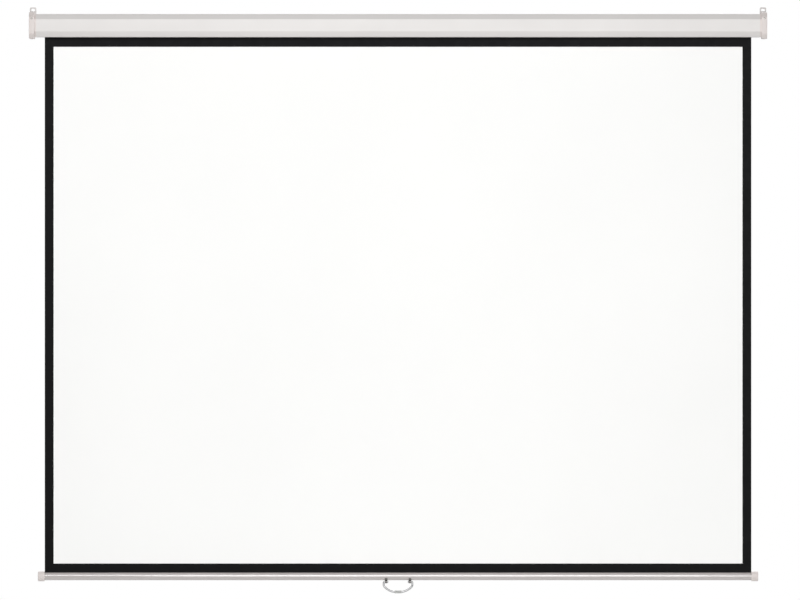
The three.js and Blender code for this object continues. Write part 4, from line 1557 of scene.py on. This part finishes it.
@dataclass
class SpringMotor:
    """What winds the roller and locks it: the fixed shaft, the spring, the ratchet and its pawls."""

    palette: Palette
    coils: GrowthRule
    roller: Roller
    shaft_edge: float = 0.0005
    tongue_edge: float = 0.0003
    anchor_edge: float = 0.0005
    head_radius: float = 0.0028  # of each pawl's pivot
    head_height: float = 0.0012
    head_edge: float = 0.0003
    flat_edge: float = 0.0002  # of the ratchet wheel and the pawls
    spring_radius: float = 0.0074
    spring_gauge: float = 0.0013
    spring_curls: float = 58.0
    curl_steps: int = 26
    gauge_sides: int = 10

    def shaft(self) -> None:
        """The fixed shaft, round in the roller, with a flat tongue in the left-hand cap."""
        caps = self.roller.caps
        low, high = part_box("spring_shaft")
        centre = middle("spring_shaft")
        shoulder = low[0] + caps.tongue_length
        profile = rod_profile(self.roller.shaft_radius, shoulder, high[0])
        shaft = lathed("spring_shaft", profile, self.shaft_edge)
        wide, thick = caps.tongue_width / 2, caps.tongue_height / 2
        tongue = slab(
            "tongue", (low[0], centre.y - wide, centre.z - thick),
            (shoulder + OVERRUN, centre.y + wide, centre.z + thick))
        combined(shaft, [eased(tongue, self.tongue_edge, segments=2)], Joining.UNION)
        dressed(softened(shaft), self.palette["inner_steel"])
        seated(shaft, "casing", "inner_steel", "spring_shaft")

    def anchor(self) -> None:
        """The disc on the shaft's inner end that the spring hooks into and the tube turns on."""
        low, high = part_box("spring_anchor")
        bore = self.roller.shaft_radius + SEAT_GAP
        profile = ring_profile(bore, self.roller.fitting_radius, low[0], high[0])
        anchor = lathed("spring_anchor", profile, self.anchor_edge)
        seated(dressed(anchor, self.palette["nylon"]), "casing", "nylon", "spring_anchor")

    def spring(self) -> None:
        """The torsion spring, close wound."""
        low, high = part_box("torsion_spring")
        axle = self.roller.axle
        length = high[0] - low[0] - 2 * self.spring_gauge
        start = bpy.data.meshes.new("spring_start")
        start.from_pydata([(0.0, 0.0, 0.0)], [], [])
        spring = self.coils.grow(
            "motor_spring", start, Coil_Radius=self.spring_radius, Length=length,
            Curls=self.spring_curls, Wire_Radius=self.spring_gauge, Curl_Steps=self.curl_steps,
            Sides=self.gauge_sides, Finish=self.palette["spring_steel"])
        spring.data.transform(Matrix.Translation((low[0] + self.spring_gauge, axle.y, axle.z)))
        softened(spring, crease=60)
        seated(spring, "casing", "spring_steel", "torsion_spring")

    def ratchet(self) -> None:
        """The notched wheel, the two pawls and the headed pivots that they swing on."""
        flat_pieces = [
            ("ratchet_wheel", "casing", "inner_steel"),
            ("pawl_upper", "upper_pawl", "pawl_brass"),
            ("pawl_lower", "lower_pawl", "pawl_brass"),
        ]
        for node, body, slot in flat_pieces:
            piece = dressed(finished_copy(node, self.flat_edge), self.palette[slot])
            seated(piece, body, slot, node)
        for node in ("pawl_pivot_upper", "pawl_pivot_lower"):
            low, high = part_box(node)
            neck, radius, head = low[0] + self.head_height, self.roller.pivot_radius, self.head_radius
            pivot = lathed(node, [
                (0.0, low[0]), (head, low[0]), (head, neck), (radius, neck), (radius, high[0]),
                (0.0, high[0])], self.head_edge, sides=32)
            seated(dressed(pivot, self.palette["inner_steel"]), "roller", "inner_steel", node)

    def build(self) -> None:
        """Make the motor."""
        self.shaft()
        self.anchor()
        self.spring()
        self.ratchet()


# The screen


def relief_sheet(
    name: str, columns: Sequence[float], rows: Sequence[float], kept: Callable[[float, float], bool],
    front: Callable[[float, float], float], thickness: float, back_finish: int = 0,
) -> Object:
    """Make a thin closed sheet over part of a grid.

    Args:
        name: Name of the new object.
        columns: X of the grid's lines, in order.
        rows: Z of the grid's lines, in order.
        kept: Says whether the cell whose middle is at (x, z) belongs to the sheet.
        front: Gives the front's Y at (x, z).
        thickness: From the front to the back.
        back_finish: Material number of the back's faces.

    Returns:
        The closed sheet, with its back and front on the same grid.
    """
    wide, high = len(columns), len(rows)
    cells = {
        (i, j) for i in range(wide - 1) for j in range(high - 1)
        if kept((columns[i] + columns[i + 1]) / 2, (rows[j] + rows[j + 1]) / 2)
    }
    points: list[Point3] = []
    for depth in (0.0, thickness):
        points.extend((x, front(x, z) + depth, z) for z in rows for x in columns)
    back = wide * high

    def corner(i: int, j: int) -> int:
        """Number of the front's grid point."""
        return j * wide + i

    faces: list[tuple[int, ...]] = []
    finishes: list[int] = []
    for i, j in sorted(cells):
        a, b = corner(i, j), corner(i + 1, j)
        c, d = corner(i + 1, j + 1), corner(i, j + 1)
        faces.extend([(a, b, c, d), (d + back, c + back, b + back, a + back)])
        finishes.extend([0, back_finish])
        sides = [((i, j - 1), a, b), ((i + 1, j), b, c), ((i, j + 1), c, d), ((i - 1, j), d, a)]
        for beside, start, end in sides:
            if beside not in cells:
                faces.append((end, start, start + back, end + back))
                finishes.append(0)
    mesh = bpy.data.meshes.new(name)
    mesh.from_pydata(points, [], faces)
    mesh.polygons.foreach_set("material_index", finishes)
    work = bmesh.new()
    work.from_mesh(mesh)
    loose = [vertex for vertex in work.verts if not vertex.link_faces]
    bmesh.ops.delete(work, geom=loose, context="VERTS")
    work.to_mesh(mesh)
    work.free()
    return new_object(name, mesh)


def grid_lines(*stops: float, step: float) -> list[float]:
    """Lines of a grid through every stop, no further apart than the step.

    Args:
        *stops: Places where a line must lie, in order.
        step: The most that two lines may be apart.

    Returns:
        The lines' places, in order.
    """
    lines = [stops[0]]
    for start, end in pairwise(stops):
        count = max(1, math.ceil(abs(end - start) / step))
        lines.extend(start + (end - start) * k / count for k in range(1, count + 1))
    return lines


@dataclass
class Screen:
    """The white sheet with its black border, and its foot in the bottom bar."""

    palette: Palette
    strips: GrowthRule
    travel: float
    anchor: float
    view_width: float = 2.032
    view_top: float = -0.062
    view_bottom: float = -1.586
    cloth: float = 0.00045
    coat: float = 0.0002
    drift: float = 0.0007  # how far the hanging cloth leaves its plane
    swells: tuple[Swell, ...] = ((1.0, 2.3, 1.4, 0.6), (0.6, 5.1, -2.2, 1.9))
    hem_radius: float = 0.003025
    hem_opening: float = math.radians(12)  # half the angle that the loop leaves open
    cell: float = 0.03

    def __post_init__(self) -> None:
        """Take the sheet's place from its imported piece."""
        self.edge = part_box("screen_fabric")[1][0]
        self.plane = middle("screen_fabric").y - self.cloth / 2

    def wave(self, x: float, z: float) -> float:
        """How far the cloth stands back from its plane, nothing at its top and foot.

        Args:
            x: X of the place.
            z: Z of the place.

        Returns:
            The distance.
        """
        down = (self.anchor - z) / (self.anchor - self.view_bottom)
        held = math.sin(math.pi * min(max(down, 0.0), 1.0)) ** 2
        slow = sum(
            share * math.sin(across * x + up * z + start) for share, across, up, start in self.swells)
        return self.drift * held * slow / sum(swell[0] for swell in self.swells)

    def front(self, x: float, z: float) -> float:
        """Y of the cloth's front."""
        return self.plane + self.wave(x, z)

    def coat_front(self, x: float, z: float) -> float:
        """Y of the black coat's front."""
        return self.front(x, z) - self.coat

    def shorten(self, piece: Object) -> None:
        """Give a piece a mesh of its own.

        Args:
            piece: The piece.
        """
        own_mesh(piece)

    def grid(self) -> tuple[list[float], list[float]]:
        """The grid that the sheet and its border share.

        Returns:
            X of its lines across and Z of its lines up.
        """
        half = self.view_width / 2
        columns = grid_lines(-self.edge, -half, half, self.edge, step=self.cell)
        return columns, grid_lines(self.view_bottom, self.view_top, self.anchor, step=self.cell)

    def sheet(self) -> Object:
        """The sheet from the roller down to the foot of the viewing area.

        Returns:
            The sheet.
        """
        sheet = relief_sheet(
            "screen_sheet", *self.grid(), lambda x, z: True, self.front, self.cloth, back_finish=1)
        dressed(softened(sheet, crease=60), self.palette["white_fabric"], self.palette["black_backing"])
        seated(sheet, "casing", "white_fabric", "screen_fabric")
        self.shorten(sheet)
        return sheet

    def border(self) -> Object:
        """The black coat above and beside the viewing area.

        Returns:
            The coat.
        """
        half = self.view_width / 2
        border = relief_sheet(
            "border_frame", *self.grid(), lambda x, z: abs(x) > half or z > self.view_top,
            self.coat_front, self.coat)
        dressed(softened(border, crease=60), self.palette["black_coat"])
        seated(border, "casing", "black_coat", "black_border")
        self.shorten(border)
        return border

    def foot(self) -> None:
        """The foot of the sheet, from the viewing area down into the bar and round the hem's rod."""
        centre = middle("hem_rod")
        top = centre.z + self.hem_radius
        opening = self.hem_opening
        loop = arc(
            centre.y, centre.z, self.hem_radius, math.pi / 2 + opening, 2.5 * math.pi - opening, steps=40)
        path = [(centre.y, self.view_bottom), (centre.y, top + self.cloth), *loop]
        foot = self.strips.grow(
            "screen_foot", chain("foot_section", [(y, z, 0.0) for y, z in path]),
            Width=2 * self.edge, Thickness=self.cloth, Bend_Radius=0.0, Bend_Steps=1,
            Finish=self.palette["white_fabric"])
        dressed(softened(foot, crease=60), self.palette["black_backing"])
        for face in foot.data.polygons:
            looks_back = face.normal.y > 0.5
            if looks_back and face.center.z > top:
                face.material_index = 1
        seated(foot, "bottom_bar", "white_fabric", "screen_fabric")

    def border_foot(self) -> None:
        """The black coat under the viewing area, running on into the bar."""
        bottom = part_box("black_border")[0][2]
        columns = grid_lines(-self.edge, self.edge, step=self.cell)
        rows = grid_lines(bottom, self.view_bottom, step=self.cell)
        foot = relief_sheet(
            "border_foot", columns, rows, lambda x, z: True, self.coat_front, self.coat)
        dressed(softened(foot, crease=60), self.palette["black_coat"])
        seated(foot, "bottom_bar", "black_coat", "black_border")

    def build(self) -> None:
        """Make the sheet, its border and its foot."""
        sheet = self.sheet()
        border = self.border()
        self.foot()
        self.border_foot()


# The bottom bar and the pull handle


@dataclass
class BottomBar:
    """The slotted tube that weighs the screen down, with a cap on each end."""

    palette: Palette
    strips: GrowthRule
    radius: float = 0.01175
    wall: float = 0.0014
    slot: float = 0.0032
    cap_radius: float = 0.0145
    cap_start: float = 1.0423
    cap_end_wall: float = 0.003
    cap_round: float = 0.0022
    cap_lip: float = 0.0008
    dish_radius_shares: Point2 = (0.62, 0.58)  # of the cap's radius, at the dish's rim and floor
    dish_depth: float = 0.0004
    rod_edge: float = 0.0004

    def tube(self, holes: Sequence[Object]) -> None:
        """The tube, open along its top for the sheet's foot.

        Args:
            holes: Shapes of the holes that the clips' screws need in it.
        """
        low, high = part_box("bar_tube")
        centre = middle("bar_cap_right")
        radius = self.radius - self.wall / 2
        opening = math.asin((self.slot + self.wall / 2) / 2 / radius)
        section = arc(
            centre.y, centre.z, radius, math.pi / 2 + opening, 2.5 * math.pi - opening, steps=120)
        tube = self.strips.grow(
            "bar_tube_enamelled", chain("bar_section", [(y, z, 0.0) for y, z in section]),
            Width=high[0] - low[0], Thickness=self.wall, Bend_Radius=0.0, Bend_Steps=1,
            Finish=self.palette["bar_enamel"])
        combined(tube, holes, Joining.DIFFERENCE)
        tube.data.materials.clear()
        dressed(softened(tube), self.palette["bar_enamel"])
        seated(tube, "bottom_bar", "bar_enamel", "bar_tube")

    def cap(self, side: Side) -> None:
        """One end cap, with a small lip on its open rim.

        Args:
            side: Which end it is at.
        """
        centre = middle("bar_cap_right")
        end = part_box("bar_cap_right")[1][0]
        start = self.cap_start
        bore = self.radius + SEAT_GAP
        outer, edge, lip = self.cap_radius, self.cap_round, self.cap_lip
        seat = end - self.cap_end_wall
        rim = [(r, x) for x, r in arc(start + lip, outer - lip, lip, math.pi, math.pi / 2, steps=5)]
        face = [(r, x) for x, r in arc(end - edge, outer - edge, edge, math.pi / 2, 0.0, steps=8)]
        dish_rim, dish_floor = self.dish_radius_shares
        floor = end - self.dish_depth
        dish = [(outer * dish_rim, end), (outer * dish_floor, floor), (0.0, floor)]
        profile = [(bore, start), *rim, *face, *dish, (0.0, seat), (bore, seat), (bore, start)]
        cap = turned(f"bar_cap_moulding_{side.word}", profile, Axis.X, (centre.y, centre.z), sides=96)
        if side is Side.LEFT:
            mirrored(cap)
        dressed(softened(cap), self.palette["cap_plastic"])
        seated(cap, "bottom_bar", "cap_plastic", f"bar_cap_{side.word}")

    def build(self, holes: Sequence[Object]) -> None:
        """Make the tube, the caps and the hem's rod.

        Args:
            holes: Shapes of the holes that the clips' screws need in the tube.
        """
        self.tube(holes)
        for side in Side:
            self.cap(side)
        low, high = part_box("hem_rod")
        profile = rod_profile((high[2] - low[2]) / 2, low[0], high[0])
        rod = dressed(lathed("hem_rod", profile, self.rod_edge, sides=48), self.palette["inner_steel"])
        seated(rod, "bottom_bar", "inner_steel", "hem_rod")


@dataclass
class PullHandle:
    """The wire bail under the bar, the two clips that carry it and the sleeve to hold it by."""

    palette: Palette
    wires: GrowthRule
    bar: BottomBar
    pivot_z: float
    wire_radius: float = 0.00275
    end_round: float = 0.001  # rounding of the wire's cut ends
    clip_start: float = 0.0315
    clip_end: float = 0.0385
    clip_thickness: float = 0.0012
    clip_half_angle: float = math.radians(66)
    clip_edge: float = 0.00025
    knuckle_wall: float = 0.0012
    screw_lean: float = math.radians(48)
    screw_radius: float = 0.0016
    half_width: float = 0.04225  # from the middle to the middle of a leg
    leg: float = 0.010
    grip_drop: float = 0.02975
    grip_length: float = 0.0204
    grip_radius: float = 0.0043
    grip_edge: float = 0.0007
    grip_ribs: int = 7
    rib_depth: float = 0.00045
    rib_margin: float = 0.0025  # of plain sleeve at each end
    rib_steps: int = 8
    axial_gap: float = 0.0003
    round_bend_share: float = 0.5523
    lower_bend_shares: tuple[Point2, Point2] = ((1.0, 0.3), (0.6, 0.93))

    def screw_seat(self, side: Side) -> Seat:
        """Where a clip's screw seats.

        Args:
            side: Which clip it is in.

        Returns:
            The place, and the direction that the screw faces, towards the wall and down.
        """
        centre = middle("bar_cap_right")
        facing = (0.0, math.sin(self.screw_lean), -math.cos(self.screw_lean))
        reach = self.bar.radius + SEAT_GAP + self.clip_thickness + SEAT_GAP
        across = side.value * (self.clip_start + self.clip_end) / 2
        return (across, centre.y + reach * facing[1], centre.z + reach * facing[2]), facing

    def screw_hole(self, side: Side) -> Object:
        """The shape of a screw's hole through a clip and the bar's wall.

        Args:
            side: Which clip it is in.

        Returns:
            The shape.
        """
        place, facing = self.screw_seat(side)
        bore = self.screw_radius + SEAT_GAP
        deep = self.bar.radius / 2
        hole = turned(
            "clip_screw_hole", rod_profile(bore, -deep, OVERRUN), Axis.Z, (0.0, 0.0), HOLE_SIDES)
        turn = Vector((0.0, 0.0, 1.0)).rotation_difference(Vector(facing)).to_matrix().to_4x4()
        hole.data.transform(Matrix.Translation(place) @ turn)
        return hole

    def clip(self, side: Side) -> None:
        """One clip: a strap under the bar with a knuckle that the wire turns in.

        Args:
            side: Which clip it is.
        """
        centre = middle("bar_cap_right")
        inner = self.bar.radius + SEAT_GAP
        outer = inner + self.clip_thickness
        bore = self.wire_radius + SEAT_GAP
        knuckle = bore + self.knuckle_wall
        drop = centre.z - self.pivot_z
        down = -math.pi / 2
        front, back = down - self.clip_half_angle, down + self.clip_half_angle
        meet = math.acos((outer ** 2 + drop ** 2 - knuckle ** 2) / (2 * outer * drop))
        around = math.acos((knuckle ** 2 + drop ** 2 - outer ** 2) / (2 * knuckle * drop))
        outline = [
            *arc(centre.y, centre.z, inner, back, front, steps=40),
            *arc(centre.y, centre.z, outer, front, down - meet, steps=16),
            *arc(
                centre.y, self.pivot_z, knuckle, math.pi / 2 + around, 2.5 * math.pi - around,
                steps=36)[1:-1],
            *arc(centre.y, centre.z, outer, down + meet, back, steps=16),
        ]
        strap = prism(
            f"handle_clip_strap_{side.word}", outline, Axis.X, self.clip_start, self.clip_end)
        eased(strap, self.clip_edge, segments=2)
        profile = rod_profile(bore, self.clip_start - OVERRUN, self.clip_end + OVERRUN)
        way = turned("knuckle_bore", profile, Axis.X, (centre.y, self.pivot_z), sides=48)
        combined(strap, [way, self.screw_hole(Side.RIGHT)], Joining.DIFFERENCE)
        if side is Side.LEFT:
            mirrored(strap)
        dressed(softened(strap), self.palette["clip_steel"])
        seated(strap, "bottom_bar", "clip_steel", f"handle_clip_{side.word}")

    def half_path(self, steps: int = 18) -> list[Point2]:
        """The wire's middle line from its right-hand end to the middle of the grip.

        Args:
            steps: Number of steps in each bend.

        Returns:
            (x, depth below the pivot) points, in order.
        """
        start = self.clip_start - self.wire_radius
        turn = self.clip_end + self.axial_gap
        bend = self.half_width - turn
        pull = bend * self.round_bend_share
        fall = self.grip_drop - self.leg
        lower = [(self.half_width * u, self.leg + fall * v) for u, v in self.lower_bend_shares]
        foot = (self.grip_length / 2 + SEAT_GAP, self.grip_drop)
        upper_bend = bezier(
            (turn, 0.0), (turn + pull, 0.0), (self.half_width, bend - pull), (self.half_width, bend),
            steps)
        lower_bend = bezier((self.half_width, self.leg), *lower, foot, 2 * steps)
        return [(start, 0.0), *upper_bend, *lower_bend, (0.0, self.grip_drop)]

    def rounded_end(self, steps: int = 5) -> list[Point2]:
        """The rounding of a cut end of the wire.

        Args:
            steps: Number of steps across the rounding.

        Returns:
            (distance from the end, girth as a share of the wire's) pairs, from the end inwards.
        """
        share = self.end_round / self.wire_radius
        quarter = arc(1.0, 1.0, 1.0, -math.pi / 2, -math.pi, steps)
        return [(self.end_round * v, 1 - share * u) for u, v in quarter]

    def wire(self) -> None:
        """The bail, its cut ends rounded."""
        half = self.half_path()
        tip_x = half[0][0]
        tip = [(tip_x + back, girth) for back, girth in self.rounded_end()]
        right = [(x, 0.0, girth) for x, girth in tip] + [(x, depth, 1.0) for x, depth in half[1:]]
        left = [(-x, depth, girth) for x, depth, girth in right]
        drawn = [*left, *reversed(right[:-1])]
        y = middle("pull_handle").y
        path = chain("bail_path", [(x, y, self.pivot_z - depth) for x, depth, _ in drawn])
        girths = path.attributes.new("girth", "FLOAT", "POINT")
        girths.data.foreach_set("value", [girth for _, _, girth in drawn])
        bail = self.wires.grow(
            "pull_bail", path, Wire_Radius=self.wire_radius, Sides=32,
            Finish=self.palette["handle_chrome"])
        softened(bail, crease=50)
        seated(bail, "handle", "handle_chrome", "pull_handle")

    def grip(self) -> None:
        """The sleeve on the bottom of the bail, with shallow ribs and rounded ends."""
        y, z = middle("pull_handle").y, self.pivot_z - self.grip_drop
        half, outer = self.grip_length / 2, self.grip_radius
        bore, edge = self.wire_radius + SEAT_GAP, self.grip_edge
        left = [(r, x) for x, r in arc(-half + edge, outer - edge, edge, math.pi, math.pi / 2, steps=5)]
        right = [(r, x) for x, r in arc(half - edge, outer - edge, edge, math.pi / 2, 0.0, steps=5)]
        ribbed = []
        reach = half - self.rib_margin
        steps = self.rib_steps * self.grip_ribs
        for step in range(steps + 1):
            share = step / steps
            dip = self.rib_depth * (1 - math.cos(share * self.grip_ribs * math.tau)) / 2
            ribbed.append((outer - dip, -reach + 2 * reach * share))
        profile = [(bore, -half), *left, *ribbed, *right, (bore, half), (bore, -half)]
        sleeve = turned("grip_sleeve", profile, Axis.X, (y, z), sides=48)
        dressed(softened(sleeve, crease=50), self.palette["grip_plastic"])
        seated(sleeve, "handle", "grip_plastic", "handle_grip")

    def build(self, screws: Screws) -> None:
        """Make the clips, the bail, its sleeve and the clips' screws.

        Args:
            screws: The object's screws, which set the clips' own.
        """
        for side in Side:
            self.clip(side)
        self.wire()
        self.grip()
        seats = [self.screw_seat(side) for side in Side]
        screws.set_in(
            "clip_screws", "bottom_bar", Head.PAN, seats, "handle_screw_left", "handle_screw_right")


# The studio


@dataclass(frozen=True)
class Lamp:
    """A soft area lamp that faces a point of the screen."""

    name: str
    place: Point3
    aim: Point3
    size: Point2  # width and height of its panel
    power: float
    colour: Point3 = (1.0, 1.0, 1.0)


@dataclass
class Studio:
    """The camera, the plain floor and the soft light."""

    camera_place: Point3 = (0.0058, -30.0, -0.8087)
    lens: float = 457.4
    sensor: float = 36.0
    sight: Point2 = (0.05, 150.0)  # the nearest and furthest that the camera sees
    ambient: float = 0.3
    floor_z: float = -2.9
    floor_centre: Point2 = (0.0, -0.2)
    floor_radius: float = 3.0
    floor_sides: int = 96
    floor_patch: float = 0.4  # width of one slightly darker place
    floor_tones: tuple[Colour, Colour] = (shade(248, 248, 247), shade(245, 245, 244))
    floor_roughness: float = 0.9
    floor_gloss: float = 0.1
    floor_fade_shares: Point2 = (0.7, 0.98)  # of the radius, between which it fades out
    floor_glow: float = 0.42  # what the pale floor lacks to white, where it is seen
    lamps: tuple[Lamp, ...] = (
        Lamp("key", (-0.7, -4.4, 0.95), (0.0, 0.0, -1.0), (3.6, 1.1), 90.0),
        Lamp("fill", (0.8, -5.6, -0.7), (0.0, 0.0, -0.9), (3.4, 2.6), 110.0),
        Lamp("back", (0.8, 4.0, 2.6), (0.0, 0.0, -0.6), (3.4, 2.6), 120.0),
        Lamp("left", (-5.2, 0.4, 0.5), (-1.0, 0.0, -0.5), (2.0, 2.0), 60.0),
        Lamp("right", (5.2, 0.4, 0.5), (1.0, 0.0, -0.5), (2.0, 2.0), 60.0),
    )

    def camera(self) -> None:
        """Set the camera square to the screen."""
        data = bpy.data.cameras.new("camera")
        data.lens, data.sensor_width = self.lens, self.sensor
        data.clip_start, data.clip_end = self.sight
        made = bpy.data.objects.new("camera", data)
        made.location = self.camera_place
        made.rotation_euler = (math.pi / 2, 0.0, 0.0)
        bpy.context.scene.collection.objects.link(made)
        bpy.context.scene.camera = made

    def light(self) -> None:
        """Hang the lamps."""
        for lamp in self.lamps:
            data = bpy.data.lights.new(lamp.name, "AREA")
            data.shape, data.size, data.size_y = "RECTANGLE", lamp.size[0], lamp.size[1]
            data.energy, data.color = lamp.power, lamp.colour
            made = bpy.data.objects.new(lamp.name, data)
            made.location = lamp.place
            aim = Vector(lamp.aim) - Vector(lamp.place)
            made.rotation_euler = aim.to_track_quat("-Z", "Y").to_euler()
            made.visible_camera = False
            bpy.context.scene.collection.objects.link(made)

    def seen(self, work: NodeWork) -> NodeSocket:
        """Whether a ray shows the backdrop to the camera, by sight, by mirror or through glass.

        Args:
            work: The nodes of the backdrop or of the floor.

        Returns:
            1 where it does, and 0 elsewhere.
        """
        rays = work.node("ShaderNodeLightPath").outputs
        shown = rays["Is Camera Ray"]
        for kind in ("Is Glossy Ray", "Is Transmission Ray"):
            shown = work.maths("MAXIMUM", shown, rays[kind])
        return shown

    def backdrop(self) -> None:
        """White where the backdrop is seen, and an even pale light on the rest."""
        world = bpy.data.worlds.new("backdrop")
        bpy.context.scene.world = world
        world.use_nodes = True
        work = NodeWork(world.node_tree)
        strength = work.node(
            "ShaderNodeMapRange", {"Value": self.seen(work), "To Min": self.ambient})
        light = work.tree.nodes["Background"]
        work.supply(light.inputs["Color"], (1.0, 1.0, 1.0, 1.0))
        work.supply(light.inputs["Strength"], strength.outputs["Result"])

    def floor(self) -> None:
        """A pale floor that fades out towards its edge and keeps the shadow."""
        x, y = self.floor_centre
        radius, sides = self.floor_radius, self.floor_sides
        ring = arc(x, y, radius, 0.0, math.tau, sides)[:sides]
        mesh = bpy.data.meshes.new("floor")
        mesh.from_pydata([(u, v, self.floor_z) for u, v in ring], [], [tuple(range(sides))])
        floor = new_object("floor", mesh)
        shader = Shader("pale floor")
        shader.fix(
            Roughness=self.floor_roughness, Specular_IOR_Level=self.floor_gloss,
            Emission_Color=shade(255, 255, 255))
        patches = shader.spread(shader.noise(self.floor_patch), 0.0, 1.0)
        shader.feed(Base_Color=shader.blend(patches, *self.floor_tones))
        centred = shader.node("ShaderNodeMapping", {
            "Vector": shader.place, "Location": (-x / radius, -y / radius, 0.0),
            "Scale": (1 / radius, 1 / radius, 0.0)})
        away = shader.node(
            "ShaderNodeVectorMath", {"Vector": centred.outputs["Vector"]}, operation="LENGTH")
        start, end = self.floor_fade_shares
        fade = shader.node("ShaderNodeMapRange", {
            "Value": away.outputs["Value"], "From Min": start, "From Max": end, "To Min": 1.0,
            "To Max": 0.0})
        below = shader.node("ShaderNodeNewGeometry").outputs["Backfacing"]
        above = shader.maths("SUBTRACT", 1.0, below)
        shader.feed(
            Alpha=shader.maths("MULTIPLY", above, fade.outputs["Result"]),
            Emission_Strength=shader.maths("MULTIPLY", self.seen(shader), self.floor_glow))
        dressed(floor, shader.material)

    def build(self) -> None:
        """Set up the camera, the light, the backdrop and the floor."""
        scene = bpy.context.scene
        scene.view_settings.view_transform = "Standard"
        self.camera()
        self.light()
        self.backdrop()
        self.floor()


def main() -> None:
    """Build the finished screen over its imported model."""
    logging.basicConfig(level=logging.INFO, format="%(message)s")
    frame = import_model()
    Studio().build()

    joints = {joint["name"]: joint for joint in frame["record"]["behaviour"]["joints"]}
    pull = joints["screen_pull"]
    palette = Palette(FINISHES)
    strips = bent_strip_rule()
    screws = Screws(palette, screw_rule())

    casing = Casing(palette, strips)
    casing.build()
    caps = EndCaps(palette, casing)
    caps.build()
    Brackets(palette, caps).build()
    screws.build(caps)
    roller = Roller(palette, strips, caps)
    roller.build()
    SpringMotor(palette, coil_rule(), roller).build()
    Screen(
        palette, strips, travel=pull["range_m"][1],
        anchor=pull["deforming_nodes"][0]["fixed_end_z_m"]).build()
    bar = BottomBar(palette, strips)
    handle = PullHandle(palette, wire_rule(), bar, pivot_z=joints["handle_swing"]["pos_m"][2])
    bar.build([handle.screw_hole(side) for side in Side])
    handle.build(screws)


if __name__ == "__main__":
    main()
